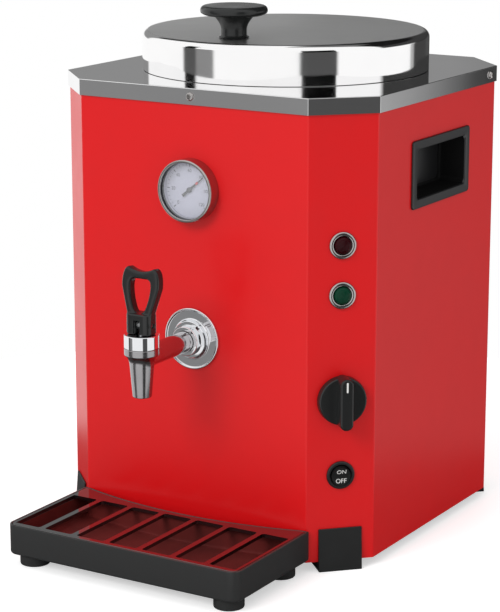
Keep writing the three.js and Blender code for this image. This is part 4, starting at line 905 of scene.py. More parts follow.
    @classmethod
    def coil(cls, radius: float, wire: float, height: float, turns: float, finish: Finish) -> bpy.types.Mesh:
        """Winds a wire as a helix up from the origin.

        Args:
            radius: radius of the wire's centreline.
            wire: radius of the wire.
            height: rise of the centreline.
            turns: number of turns.
            finish: the wire's finish.

        Returns:
            The coil's mesh.
        """
        name = "wound_coil"
        tree = bpy.data.node_groups.get(name)
        if tree is None:
            sizes = {label: "Float" for label in ("Radius", "Wire", "Height", "Turns")}
            graph, out = cls._start(name, {**sizes, "Finish": "Material"})
            tree = graph.tree
            path = graph.out("GeometryNodeCurveSpiral", {
                "Resolution": 28, "Rotations": out["Turns"], "Start Radius": out["Radius"], "End Radius": out["Radius"],
                "Height": out["Height"]})
            section = graph.out("GeometryNodeCurvePrimitiveCircle", {"Resolution": 10, "Radius": out["Wire"]})
            wound = graph.out("GeometryNodeCurveToMesh", {"Curve": path, "Profile Curve": section, "Fill Caps": True})
            cls._end(graph, wound, out["Finish"])
        return cls.run(bpy.data.meshes.new("coil"), tree, radius=radius, wire=wire, height=height, turns=turns,
                       finish=finish.material())


@dataclass
class Housing:
    """The painted case: bent wrap, vented rear panel, deck, side grips, corner guards, screws and cord gland."""

    bottom: float = 8.0
    top: float = 391.5
    bend: float = 2.6
    flange: float = 16.0
    flange_face: float = 146.5
    window: Point = (93.6, 45.6)
    panel_gap: float = 0.6
    deck_skirt: float = 13.5
    deck_bend: float = 0.6
    deck_corner: float = 0.5
    deck_mouth: float = 114.3
    grip_height: float = 319.5
    grip_size: Point = (105.0, 57.0)
    grip_depth: float = 25.0
    vent_size: Point = (46.0, 4.0)
    vent_step: Point = (64.0, 11.0)
    vent_height: float = 302.5
    guard_width: float = 37.0
    guard_height: float = 36.5
    guard_sole: float = 30.0
    screw_inset: float = 15.0
    cover_screw_x: float = 101.0
    cover_screw_heights: Point = (34.0, 357.5)
    gland_x: float = 78.0
    gland_height: float = 48.0
    gland_hole: float = 8.3
    gland_bore: float = 4.0
    gland_ribs: int = 18

    def build(self) -> None:
        """Builds and dresses every piece of the case."""
        for make in (self.wrap, self.rear_panel, self.deck, self.grips, self.corner_guards, self.screws, self.gland):
            make()
        Workshop.keep(ZINC, "base_plate")

    def wrap(self) -> None:
        """The front, four corner faces and two sides, one bent sheet with flanges at the rear."""
        line = HALF_WIDTH + HALF_DEPTH - CORNER_CUT
        walls = []
        for inset in (0.0, SHEET):
            x, y, face = HALF_WIDTH - inset, HALF_DEPTH - inset, self.flange_face - inset
            cut, bend = corner_cut(inset), self.bend - inset
            elbow = line - math.sqrt(2) * inset - face
            right = [(HALF_WIDTH - CORNER_CUT - self.flange, face, 0.0), (elbow, face, bend), (x, y - cut, bend),
                     (x, -y + cut, bend), (x - cut, -y, bend)]
            walls.append(fillet(right + [(-a, b, r) for a, b, r in reversed(right)], closed=False))
        form = Form()
        corners = [(walls[0], self.bottom), (walls[0], self.top), (walls[1], self.top), (walls[1], self.bottom)]
        loops = [form.loop((x, y, z) for x, y in wall) for wall, z in corners]
        for i in range(4):
            form.skin(loops[i], loops[(i + 1) % 4], closed=False)
        for end in (0, -1):
            form.cap([loop[end] for loop in loops])
        window = rounded_rectangle(*self.window, 3.0)
        tools = [Workshop.plate([window], -PUNCH, PUNCH, place=wall.place(self.grip_height))
                 for wall in (Wall.RIGHT, Wall.LEFT)]
        tools += [Workshop.rod(hole.radius, -PUNCH, PUNCH, hole.place) for hole in Opening]
        Workshop.stand("painted_wrap", Workshop.carved(form.mesh(), tools), [RED_PAINT], "root", "housing_wrap")

    def rear_panel(self) -> None:
        """The flat rear panel with two columns of vent slots."""
        half = HALF_WIDTH - CORNER_CUT - self.panel_gap
        outline = fillet([(-half, self.bottom, 2), (half, self.bottom, 2), (half, self.top, 2), (-half, self.top, 2)])
        vented = Repeats.slotted(Workshop.plate([outline], -SHEET, 0.0, edge=0.3), slot_width=self.vent_size[0],
                                 slot_height=self.vent_size[1], corner=1.9, columns=2, rows=6,
                                 step_x=self.vent_step[0], step_y=self.vent_step[1],
                                 middle=(0.0, self.vent_height, -5.0), depth=10.0, reach=FAR,
                                 finish=RED_PAINT.material())
        hole = Workshop.rod(self.gland_hole, -PUNCH, PUNCH, shift(-self.gland_x, self.gland_height))
        Workshop.stand("vented_rear_panel", Workshop.carved(vented, [hole]), [RED_PAINT], "root", "rear_cover",
                       place=Wall.REAR.place(0.0))

    def deck(self) -> None:
        """The polished deck: a flat top with a round mouth and a turned-down skirt."""
        form = Form()
        low, outset, under = DECK_TOP - self.deck_skirt, -SHEET - GAP, DECK_TOP - SHEET
        bend = arc((outset + self.deck_bend, DECK_TOP - self.deck_bend), self.deck_bend, 180.0, 90.0, 6)
        outer, inner = (form.tiers(lambda inset: housing_plan(inset, self.deck_corner), profile, capped=(False, False))
                        for profile in ([(outset, low)] + bend, [(-GAP, low), (-GAP, under - 0.4), (0.1, under)]))
        form.skin(outer[0], inner[0])
        mouths = []
        for height, rim in ((DECK_TOP, outer[-1]), (under, inner[-1])):
            mouth = form.loop((x, y, height) for x, y in circle(self.deck_mouth, 128, (0.0, TANK_AXIS_Y)))
            edges = []
            for loop in (rim, mouth):
                for i, vertex in enumerate(loop):
                    pair = (vertex, loop[(i + 1) % len(loop)])
                    edges.append(form.bm.edges.get(pair) or form.bm.edges.new(pair))
            bmesh.ops.triangle_fill(form.bm, use_beauty=True, edges=edges)
            mouths.append(mouth)
        form.skin(*mouths)
        Workshop.stand("polished_deck", form.mesh(), [MIRROR], "root", "top_deck")

    def grips(self) -> None:
        """A moulded finger recess in each side."""
        width, height = self.grip_size
        border, rim, floor = 8.0, 2.0, -self.grip_depth

        def outline(inset: float) -> list[Point]:
            """Gives the grip's outline at an inset."""
            corner = 3.0 if inset < border else 5.0
            return rounded_rectangle(width - 2 * inset, height - 2 * inset, corner)

        front = [(0.0, GAP), (0.0, rim - 0.8), (0.25, rim - 0.25), (0.8, rim), (border - 1.0, rim - 0.1),
                 (border - 0.3, rim - 0.5), (border, rim - 1.4), (border + 0.3, floor + 5.0),
                 (border + 1.2, floor + 3.0), (border + 3.2, floor + 2.0)]
        back = [(border - 2, GAP), (border - 2, floor + 1.5), (border - 0.5, floor)]
        form = Form()
        face = form.tiers(outline, front, finishes=[0] * 6 + [1] * 3, capped=(False, True))
        form.skin(face[0], form.tiers(outline, back, capped=(False, True))[0])
        mesh = form.mesh()
        for side, wall in (("right", Wall.RIGHT), ("left", Wall.LEFT)):
            Workshop.stand(f"finger_recess_{side}", mesh.copy(), [BLACK_PLASTIC, GRIP_BLACK], "root",
                           f"side_grip_{side}", place=wall.place(self.grip_height))

    def corner_guards(self) -> None:
        """Four wedge-shaped corner feet from one moulding."""
        half, sole, low = self.guard_width / 2, -self.guard_sole, self.bottom - GAP
        profile = [(sole, 0.0), (4.2, 0.0), (1.6, self.guard_height), (GAP, self.guard_height), (GAP, low), (sole, low)]
        form = Form()
        ends = form.stack([form.loop((x, up, out) for out, up in profile) for x in (-half, half)])
        for end in ends:
            form.cap(end)
        walls = (Wall.FRONT_RIGHT, Wall.FRONT_LEFT, Wall.REAR_RIGHT, Wall.REAR_LEFT)
        guards = Repeats.copies(Workshop.eased(form.mesh(), 0.9, 50), [wall.place(0.0) for wall in walls], MATT_BLACK)
        nodes = [f"corner_foot_{row}_{side}" for row in ("front", "rear") for side in ("left", "right")]
        Workshop.stand("corner_guards", guards, [MATT_BLACK], "root", *nodes)

    def screws(self) -> None:
        """The pan-head screws of the deck's skirt and of the rear panel."""
        head = [(0.0, -6.9), (1.8, 0.0), (1.8, GAP), (3.6, GAP), (3.6, GAP + 0.5)]
        head += arc((1.9, GAP + 0.1), 1.7, 10.0, 80.0) + [(0.0, GAP + 1.8)]
        body = Workshop.turned(head, 32)
        for turn in (20.0, 110.0):
            slot = Workshop.plate([rounded_rectangle(3.6, 0.8, 0.2, 2)], GAP + 0.9, GAP + 4.0, place=spin(turn))
            body = Workshop.carved(body, [slot])
        skirt, edge, proud = DECK_TOP - self.deck_skirt / 2, HALF_DEPTH - CORNER_CUT - self.screw_inset, SHEET + GAP
        places = [Wall.FRONT.place(skirt, proud=proud), Wall.REAR.place(skirt, proud=proud),
                  Wall.RIGHT.place(skirt, edge, proud), Wall.LEFT.place(skirt, -edge, proud)]
        places += [Wall.REAR.place(height, along) for height in self.cover_screw_heights
                   for along in (-self.cover_screw_x, self.cover_screw_x)]
        nodes = [f"deck_screw_{side}" for side in ("front", "right", "left", "rear")]
        nodes += [f"cover_screw_{row}_{side}" for row in ("low", "high") for side in ("left", "right")]
        Workshop.stand("case_screws", Repeats.copies(body, places, RING_METAL), [RING_METAL], "root", *nodes)

    def gland(self) -> None:
        """The cord gland: a hexagon, a ribbed clamping dome and a threaded barrel."""
        barrel = Workshop.turned([(0.0, -12.0), (7.6, -12.0), (8.0, -11.6), (8.0, 3.0), (0.0, 3.0)], 48)
        form = Form()
        narrow, wide = (fillet([(x, y, 0.6) for x, y in circle(radius, 6)], 2) for radius in (10.4, 11.0))
        tiers = [(narrow, GAP), (wide, GAP + 0.6), (wide, 6.4), (narrow, 7.2)]
        hexagon = form.stack([form.loop((x, y, z) for x, y in points) for points, z in tiers])
        for loop in (hexagon[0], hexagon[-1]):
            form.cap(loop)
        solid = Workshop.carved(form.mesh(), [barrel], "UNION")
        solid = Workshop.carved(solid, [Workshop.rod(self.gland_bore, -20, 30, facets=40)])
        profile = [(9.8, 7.2), (9.8, 10.5), (9.2, 12.6), (7.8, 14.6), (5.6, 15.8), (4.3, 16.0), (4.0, 15.6), (4.0, 7.2)]
        dome = Form()
        rings, facets = [], 4 * self.gland_ribs
        for radius, z in profile + profile[:1]:
            grooved = radius - (0.5 if radius > 7.5 and z > 7.3 else 0.0)
            full, cut = circle(radius, facets), circle(grooved, facets)
            rings.append(dome.loop((*(full[i] if i % 4 else cut[i]), z) for i in range(facets)))
        dome.stack(rings)
        Workshop.stand("cord_gland", Form().take(solid).take(dome.mesh()).mesh(), [BLACK_PLASTIC], "root",
                       "cable_gland", place=Wall.REAR.place(self.gland_height, -self.gland_x))


@dataclass
class Tank:
    """The drawn milk tank and what surrounds it."""

    radius: float = 113.0
    wall: float = 1.0
    floor: float = 150.0
    corner: float = 12.0
    rim: float = 119.5
    socket: float = 10.05
    socket_ends: Point = (-37.2, -26.7)
    probe_hole: float = 3.3

    def build(self) -> None:
        """Builds the tank and gives the water bath's parts their finishes."""
        low, high = DECK_TOP + GAP, DECK_TOP + GAP + self.wall
        centre = (self.radius - self.corner, self.floor + self.corner)
        profile = [(0.0, self.floor - self.wall)]
        profile += arc(centre, self.corner + self.wall, -90.0, 0.0, 10)
        profile += [(self.radius + self.wall, low), (self.rim - 0.3, low), (self.rim, low + 0.3),
                    (self.rim, high - 0.3), (self.rim - 0.3, high), (self.radius + 1.2, high),
                    (self.radius + 0.3, high - 0.4), (self.radius, high - 1.4)]
        profile += arc(centre, self.corner, 0.0, -90.0, 10) + [(0.0, self.floor)]
        vessel = Workshop.turned(profile, 144)
        vessel.transform(shift(y=TANK_AXIS_Y))
        tap, probe = Opening.TAP, Opening.THERMOMETER
        vessel = Workshop.carved(vessel, [Workshop.rod(self.socket, *self.socket_ends, tap.place, 40)], "UNION")
        vessel = Workshop.carved(vessel, [Workshop.rod(tap.radius, -60, -20, tap.place, 40),
                                          Workshop.rod(self.probe_hole, -60, -20, probe.place, 32)])
        Workshop.stand("drawn_milk_tank", vessel, [TANK_STEEL], "root", "milk_tank")
        Workshop.keep(ZINC, "water_jacket", "heating_element")
        Workshop.keep(WOOL, "insulation_sleeve")
        Workshop.keep(CERAMIC, "terminal_block")


@dataclass
class Lid:
    """The hinged lid with its knob and hinge."""

    radius: float = 123.5
    low: float = 393.3
    top: float = 426.4
    shoulder: float = 6.0
    crown: float = 1.5
    knob_y: float = -82.0
    knob_seat: float = 427.31
    knob_height: float = 26.5
    knob_bore: float = 2.8
    hinge_y: float = 135.2
    hinge_z: float = 400.5
    hinge_eye: float = 4.2
    ear_middle: float = 21.3
    leaf_half: float = 15.0

    def build(self) -> None:
        """Builds and dresses every piece of the lid."""
        self.cover()
        self.knob()
        self.hinge()
        Workshop.keep(ZINC, "lid_knob_screw")

    def cover(self) -> None:
        """The pressed cover: polished skirt, rounded shoulder and spun top."""
        flat = self.radius - self.shoulder
        centre = (flat, self.top - self.shoulder)

        def crowned(shares: Sequence[float], drop: float = 0.0) -> list[Point]:
            """Gives points of the slightly domed top, at shares of its radius."""
            return [(flat * share, self.top + self.crown * (1 - share ** 1.3) - drop) for share in shares]

        skin = [(self.radius - 0.2, self.low), (self.radius, self.low + 0.2)]
        skin += arc(centre, self.shoulder, 0.0, 78.0, 12)
        skirt_steps = len(skin) - 1
        skin += arc(centre, self.shoulder, 82.0, 90.0, 2) + crowned((0.97, 0.85, 0.7, 0.5, 0.3, 0.12, 0.0))
        under = crowned((0.0, 0.3, 0.7), SHEET) + arc(centre, self.shoulder - SHEET, 90.0, 0.0, 8)
        under += [(self.radius - SHEET, self.low + 0.2), (self.radius - SHEET + 0.2, self.low), skin[0]]
        profile = skin + under
        finishes = [0 if i < skirt_steps or i >= len(skin) + 3 else 1 for i in range(len(profile))]
        mesh = Workshop.turned(profile, 192, finishes)
        mesh.transform(shift(y=TANK_AXIS_Y))
        bore = Workshop.rod(self.knob_bore, self.top - 10, self.top + 10, shift(y=self.knob_y), 24)
        Workshop.stand("lid_cover", Workshop.carved(mesh, [bore]), [SKIRT, SPUN], "lid", "lid_shell", sharp=50.0)

    def knob(self) -> None:
        """The black mushroom knob near the lid's front edge."""
        height, bore, stem = self.knob_height, self.knob_bore, 10.6
        neck, crown = height - 19.5, height - 8.0
        profile = [(bore, 0.0), (12.2, 0.0), (12.6, 0.4), (12.2, 0.9), (11.2, 1.1), (stem, 1.9), (stem, neck)]
        profile += quadratic((stem, neck), (stem + 0.6, height - 14.0), (17.5, crown))
        profile += [(23.6, height - 7.95), (25.4, height - 7.3)] + arc((24.0, height - 4.0), 4.0, -30.0, 82.0, 12)
        profile += [(16.0, height - 0.02), (0.0, height), (0.0, 14.0), (bore, 14.0), (bore, 0.0)]
        Workshop.stand("mushroom_knob", Workshop.turned(profile), [BAKELITE], "lid", "lid_knob",
                       place=shift(0.0, self.knob_y, self.knob_seat))

    def hinge(self) -> None:
        """The leaf on the lid's skirt, the two ears on the deck, and the pin."""
        line = across(self.hinge_y, self.hinge_z)
        low, half = DECK_TOP + GAP - self.hinge_z, self.leaf_half
        eye = circle(2.3, 32)
        ear = fillet([(-self.hinge_eye, low, 0.4), (6.0, low, 0.4), (6.0, low + 2.0, 0.6), (4.2, low + 2.4, 0.8)])
        ear += arc((0, 0), self.hinge_eye, 0, 180, 20)
        ears = Form()
        for x in (-self.ear_middle, self.ear_middle):
            ears.take(Workshop.plate([ear, eye], x - 6.0, x + 6.0, 0.4, line))
        bar = fillet([(4.8, low, 0.3), (6.0, low, 0.3), (6.0, low + 2.0, 0.3), (4.8, low + 2.0, 0.3)], 2)
        ears.take(Workshop.plate([bar], -20.0, 20.0, 0.0, line))
        Workshop.stand("hinge_ears", ears.mesh(), [CHROME], "root", "lid_hinge_bracket")
        leaf = Form().take(Workshop.plate([circle(self.hinge_eye, 40), eye], -half, half, 0.4, line))
        arm = [(-9.4, -1.0), (-3.6, -1.0), (-3.6, 1.0), (-9.4, 1.0)]
        leaf.take(Workshop.plate([arm], -half, half, 0.0, line))
        edges = []
        for radius in (self.radius + GAP, self.radius + GAP + 2.2):
            reach = math.degrees(math.asin(half / radius))
            edges.append(arc((0.0, TANK_AXIS_Y), radius, 90 - reach, 90 + reach, 16))
        leaf.take(Workshop.plate([edges[0] + edges[1][::-1]], self.low + 2.0, self.low + 24.0, 0.5))
        Workshop.stand("hinge_leaf", leaf.mesh(), [CHROME], "lid", "lid_hinge_leaf")
        pin = [(0.0, -27.2), (1.6, -27.2), (2.0, -26.8), (2.0, 26.8), (1.6, 27.2), (0.0, 27.2)]
        Workshop.stand("hinge_pin", Workshop.turned(pin, 32), [CHROME], "root", "lid_hinge_pin", place=line)


@dataclass
class Thermometer:
    """The dial thermometer in the front."""

    radius: float = 26.0
    proud: float = 12.0
    lip: float = 2.6
    well: float = 2.0
    needle_turn: float = -50.0
    scale_start: float = 135.0
    scale_step: float = 45.0
    scale_figures: int = 7
    scale_units: int = 20
    minor_marks: int = 4

    def build(self) -> None:
        """Builds and dresses every piece of the thermometer."""
        for make in (self.bezel, self.dial, self.window, self.needle):
            make()
        Workshop.keep(ZINC, "gauge_clamp", "gauge_stem")

    def bezel(self) -> None:
        """The deep bezel with its bright lip and dark inner wall."""
        inner = self.radius - self.lip
        outside = [(0.0, -16.0), (23.6, -16.0), (24.0, -15.6), (24.0, GAP), (self.radius, GAP), (self.radius, 0.9)]
        lip = [(self.radius, self.proud - 1.4)] + arc((self.radius - 1.2, self.proud - 1.2), 1.2, 0, 90, 6)
        lip += arc((inner + 0.6, self.proud - 0.6), 0.6, 90, 180, 5)
        reveal = [(inner, self.proud - 1.2), (inner, self.proud - 6.4), (inner, self.well), (0.0, self.well)]
        dark = len(outside) + len(lip)
        profile = outside + lip + reveal
        finishes = [(i >= dark) + (i > dark) for i in range(len(profile))]
        Workshop.stand("thermometer_bezel", Workshop.turned(profile, 112, finishes), [RING_METAL, REVEAL, DIAL_WHITE],
                       "root", "gauge_case", place=Opening.THERMOMETER.place)

    def dial(self) -> None:
        """The enamelled dial with its marks and plain numbers."""
        low, radius = self.well + GAP, self.radius - self.lip - GAP
        face, parts = low + 0.8, self.minor_marks + 1
        disc = Workshop.turned([(0.0, low), (radius, low), (radius, face - 0.1), (radius - 0.1, face), (0.0, face)])
        tick = Workshop.plate([rounded_rectangle(0.34, 1.5, 0.1, 2)], face - 0.05, face + 0.1)
        major = Workshop.plate([rounded_rectangle(0.6, 2.6, 0.15, 2)], face - 0.05, face + 0.1)
        small, large, figures = [], [], []
        for i in range((self.scale_figures - 1) * parts + 1):
            heading = spin(self.scale_start - i * self.scale_step / parts)
            if i % parts:
                small.append(heading @ shift(y=radius - 2.1))
                continue
            large.append(heading @ shift(y=radius - 2.6))
            spot = heading @ Vector((0.0, radius - 7.2, face + 0.05))
            figures.append(Workshop.lettering(str(self.scale_units * i // parts), 4.0, 0.1, shift(*spot)))
        marks = Form().take(Repeats.copies(tick, small, DIAL_INK)).take(Repeats.copies(major, large, DIAL_INK))
        for figure in figures:
            marks.take(figure)
        whole = Form().take(disc, finish=0).take(marks.mesh(), finish=1)
        Workshop.stand("dial_face", whole.mesh(), [DIAL_WHITE, DIAL_INK], "root", "gauge_dial",
                       place=Opening.THERMOMETER.place)

    def window(self) -> None:
        """The slightly domed window."""
        radius, high = self.radius - self.lip - 0.15, self.proud - 3.5
        dome = [(radius * share, high + 0.9 * (1 - share ** 2)) for share in (1.0, 0.85, 0.65, 0.45, 0.22)]
        profile = [(0.0, high - 1.2), (radius, high - 1.2)] + dome + [(0.0, high + 0.9)]
        Workshop.stand("dial_window", Workshop.turned(profile), [CLEAR], "root", "gauge_glass",
                       place=Opening.THERMOMETER.place)

    def needle(self) -> None:
        """The black needle, with a counterweight, a red band and a domed hub."""
        low = self.well + 0.8 + 2 * GAP
        side = [(1.3, -8.2), (1.0, -3.0), (0.95, 3.0), (0.3, 18.2)]
        band = [(-0.95, 8.6), (0.95, 8.6), (0.85, 11.2), (-0.85, 11.2)]
        hub = [(0.0, low), (2.2, low), (2.2, low + 1.2)] + arc((0.8, low + 0.9), 1.4, 15, 75, 5) + [(0.0, low + 2.4)]
        form = Form().take(Workshop.plate([side + mirrored(side)], low + 0.7, low + 1.3, 0.1)).turn(hub, 40)
        form.take(Workshop.plate([band], low + 0.65, low + 1.36, 0.05), finish=1)
        Workshop.stand("dial_needle", form.mesh(), [BAKELITE, MARK_RED], "pointer", "gauge_pointer",
                       place=Opening.THERMOMETER.place @ spin(self.needle_turn))


@dataclass
class Tap:
    """The self-closing tap: escutcheon, body with spout, collar, loop lever, pin and closing spring."""

    axis_y: float = -223.5
    shank: float = 8.75
    shank_ends: Point = (-50.7, 75.5)
    passage: float = 5.0
    spout_tip: float = 153.0
    spout_top: float = 193.3
    head_top: float = 193.7
    head_radius: float = 14.2
    collar_top: float = 205.0
    pivot: float = 212.5
    pin_hole: float = 1.8
    lever_neck: float = 222.3
    lever_top: float = 259.0
    lever_base: float = 11.5
    lever_loop: float = 17.5
    lever_lean: float = 6.0
    spring_low: float = 185.2
    spring_high: float = 201.3
    spring_radius: float = 4.6
    spring_wire: float = 0.6
    lift: float = 5.0

    @property
    def upright(self) -> Matrix:
        """The frame of the tap's upright axis."""
        return shift(y=self.axis_y)

    def build(self) -> None:
        """Builds and dresses every piece of the tap."""
        for make in (self.escutcheon, self.body, self.collar, self.lever, self.pin, self.spring):
            make()
        Workshop.keep(ZINC, "tap_stem", "tap_backnut")
        Workshop.keep(SILICONE, "tap_seal", "tap_seat_cup")

    def escutcheon(self) -> None:
        """The dished plate round the shank, with its bright rim and hub."""
        bore = self.shank + GAP
        profile = [(bore, GAP), (25.7, GAP), (26.0, 0.6), (26.0, 1.8)] + arc((25.1, 1.8), 0.9, 10, 120, 6)
        profile += [(24.3, 2.1), (23.9, 1.8), (23.6, 1.75), (23.3, 1.75), (17.6, 1.75), (17.3, 1.8), (16.8, 2.1),
                    (16.3, 3.0), (15.9, 4.2), (15.6, 5.0), (15.6, 5.5), (15.2, 5.9), (12.9, 6.0), (12.4, 6.3),
                    (12.4, 12.3), (12.1, 12.8), (11.7, 13.0), (bore + 0.2, 13.0), (bore, 12.8), (bore, GAP)]
        Workshop.stand("tap_escutcheon", Workshop.turned(profile, 112), [CHROME], "root", "tap_flange",
                       place=Opening.TAP.place)

    def body(self) -> None:
        """The shank through the front and the tapered spout below the head."""
        tip, top, face = self.spout_tip, self.head_top, Opening.TAP.place
        barrel = [(0.0, tip), (7.35, tip), (7.75, tip + 0.5), (8.9, 167.0), (9.9, 179.0), (10.25, 181.8),
                  (11.0, 184.2), (12.2, 186.3), (13.6, 187.6), (14.1, 188.2), (14.2, 188.9), (14.2, top - 0.3),
                  (13.9, top), (0.0, top)]
        spout = Workshop.turned(barrel, 72)
        spout.transform(self.upright)
        solid = Workshop.carved(spout, [Workshop.rod(self.shank, *self.shank_ends, face, 56)], "UNION")
        passage = Workshop.turned([(0.0, 140.0), (6.1, 140.0), (6.1, tip + 0.1), (5.5, tip + 1.2), (5.5, 178.6),
                                   (8.3, 178.6), (8.3, 215.0), (0.0, 215.0)], 48)
        passage.transform(self.upright)
        solid = Workshop.carved(solid, [passage, Workshop.rod(self.passage, -60.0, 70.0, face, 40)])
        while len(solid.materials) < 2:
            solid.materials.append(None)
        for polygon in solid.polygons:
            shiny = polygon.center.y > self.axis_y + self.head_radius or polygon.center.z > self.spout_top
            polygon.material_index = 1 if shiny else 0
        Workshop.stand("tap_spout_and_shank", solid, [SPOUT_METAL, SHANK_METAL], "root", "tap_body")

    def collar(self) -> None:
        """The polished collar that holds the spring."""
        low, high, radius = self.head_top + GAP, self.collar_top, self.head_radius
        profile = [(7.4, low), (radius - 0.3, low), (radius, low + 0.3), (radius, high - 1.0)]
        profile += arc((radius - 1.0, high - 1.0), 1.0, 15, 90, 5)
        profile += [(3.0, high), (2.7, high - 0.3), (2.7, high - 3.4), (7.4, high - 3.4), (7.4, low)]
        Workshop.stand("tap_collar", Workshop.turned(profile, 88), [CHROME], "root", "tap_bonnet", place=self.upright)

    def lever_outline(self) -> list[list[Point]]:
        """Gives the loop's outline and its hole, in X and height over the neck."""
        base, loop, top = self.lever_base, self.lever_loop, self.lever_top - self.lever_neck
        belly = top * 0.57
        right = [(base, -14.0), (base, 0.0)]
        right += quadratic((base, 0.0), (base + 3.2, top * 0.3), (loop, belly))
        right += quadratic((loop, belly), (loop + 0.3, top - 1.5), (loop - 5.4, top))
        crest = quadratic((loop - 5.4, top), (0.0, top - 6.4), (-loop + 5.4, top))
        half, shoulder = loop - 7.8, (loop - 8.0, top - 12.6)
        side = quadratic((0.0, -0.4), (4.6, -0.2), (6.2, 5.2), 6)
        side += quadratic((6.2, 5.2), (half - 0.4, belly * 0.62), (half, belly)) + [shoulder]
        side += quadratic(shoulder, (half - 0.6, top - 9.6), (half - 3.8, top - 9.2), 5)
        return [right + crest[:-1] + mirrored(right), [(0.0, -0.4)] + side + mirrored(side)]

    def lever(self) -> None:
        """The loop lever: a leaning loop on a forked base that is open to the front."""
        neck, low = self.lever_neck, self.collar_top + GAP
        loop = Workshop.plate(self.lever_outline(), -4.75, 4.75, 2.1,
                              shift(0.0, self.axis_y, neck) @ spin(90.0 - self.lever_lean, "X"))
        floor = Workshop.plate([rounded_rectangle(90, 90, 5)], 150.0, self.pivot, place=self.upright)
        loop = Workshop.carved(loop, [floor])
        stand = Workshop.plate([rounded_rectangle(2 * self.lever_base, 15.0, 5.0, 8)], low, neck, 1.2, self.upright)
        solid = Workshop.carved(stand, [loop], "UNION")
        line = across(self.axis_y, self.pivot)
        pocket = Workshop.plate([[(-10.5, -12.0), (4.5, -12.0), (4.5, 4.5), (-10.5, 4.5)]], -3.0, 3.0, place=line)
        solid = Workshop.carved(solid, [pocket, Workshop.rod(self.pin_hole, -30.0, 30.0, line, 32)])
        cast = Workshop.shaped(solid, ("REMESH", {"mode": "VOXEL", "voxel_size": 0.42}),
                               ("SMOOTH", {"factor": 0.5, "iterations": 5}), ("DECIMATE", {"ratio": 0.4}))
        Workshop.stand("loop_lever", cast, [BAKELITE], "lever", "tap_lever", sharp=180.0)

    def pin(self) -> None:
        """The pivot pin through the lever's fork and the stem's eye."""
        profile = [(0.0, -10.2), (1.2, -10.2), (1.5, -9.9), (1.5, 9.9), (1.2, 10.2), (0.0, 10.2)]
        Workshop.stand("lever_pin", Workshop.turned(profile, 28), [CHROME], "stem", "tap_pin",
                       place=across(self.axis_y, self.pivot))

    def spring(self) -> None:
        """The closing spring, wound at its resting length."""
        low, high, wire = self.spring_low, self.spring_high, self.spring_wire
        coil = Repeats.coil(self.spring_radius, wire, high - low - 2 * wire, 5.0, ZINC)
        piece = Workshop.stand("closing_spring", coil, [ZINC], "root", "tap_spring", sharp=60.0,
                               place=shift(0.0, self.axis_y, low + wire))
        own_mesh(piece)


@dataclass
class Lamp:
    """A pilot lamp on the right front corner face."""

    name: str
    opening: Opening
    lens: Finish
    ridges: int = 18

    def build(self) -> None:
        """Builds the bezel and the ribbed lens."""
        place = self.opening.place
        profile = [(0.0, -22.0), (8.0, -22.0), (8.4, -21.6), (8.4, GAP), (10.9, GAP), (11.2, 0.6), (11.2, 1.2)]
        profile += [(9.2 + x, 1.2 + 0.6 * y) for x, y in arc((0.0, 0.0), 2.0, 15.0, 165.0, 10)]
        inner = [(7.3, 1.2), (7.3, -9.0), (0.0, -9.0)]
        finishes = [0] * len(profile) + [1] * len(inner)
        Workshop.stand(f"{self.name}_lamp_ring", Workshop.turned(profile + inner, 80, finishes), [RING_METAL, REVEAL],
                       "root", f"lamp_{self.name}_bezel", place=place)
        shares = [1 - step / self.ridges for step in range(1, self.ridges)]
        dome = [(7.0 * share, 2.4 + 3.0 * math.sqrt(1 - share ** 2) + (0.13 if i % 2 else -0.13))
                for i, share in enumerate(shares)]
        lens = [(0.0, -8.7), (6.8, -8.7), (7.0, -8.5), (7.0, 2.2), (6.9, 2.8)] + dome + [(0.0, 5.4)]
        Workshop.stand(f"{self.name}_lamp_lens", Workshop.turned(lens, 64), [self.lens], "root",
                       f"lamp_{self.name}_lens", place=place, sharp=60.0)
        Workshop.keep(ZINC, f"lamp_{self.name}_nut")


@dataclass
class Thermostat:
    """The thermostat's knob and what it turns."""

    disc: float = 20.5
    grip: Point = (11.0, 43.0)
    grip_top: float = 19.0
    shaft_hole: float = 3.3

    def build(self) -> None:
        """Builds the knob and gives the thermostat its finishes."""
        profile = [(0.0, 1.0), (self.disc - 0.4, 1.0), (self.disc, 1.4), (self.disc - 0.5, 5.4)]
        profile += arc((self.disc - 1.9, 5.6), 1.4, 15, 90, 6) + [(self.disc - 5.0, 6.8), (0.0, 6.9)]
        bar = Workshop.plate([rounded_rectangle(*self.grip, 5.2, 10)], 1.0, self.grip_top, 1.6)
        knob = Workshop.carved(Workshop.turned(profile), [bar], "UNION")
        knob = Workshop.carved(knob, [Workshop.rod(self.shaft_hole, -5.0, 12.3, facets=32)])
        mark = Workshop.plate([rounded_rectangle(1.5, 8.5, 0.6, 4)], self.grip_top - 0.5, self.grip_top + 0.05, 0.0,
                              shift(y=self.grip[1] / 2 - 6.6))
        whole = Form().take(knob, finish=0).take(mark, finish=1).mesh()
        Workshop.stand("thermostat_dial_knob", whole, [BAKELITE, MARK_WHITE], "thermostat", "thermostat_knob",
                       place=Opening.THERMOSTAT.place)
        Workshop.keep(ZINC, "thermostat_shaft", "thermostat_capillary")
        Workshop.keep(CERAMIC, "thermostat_body")


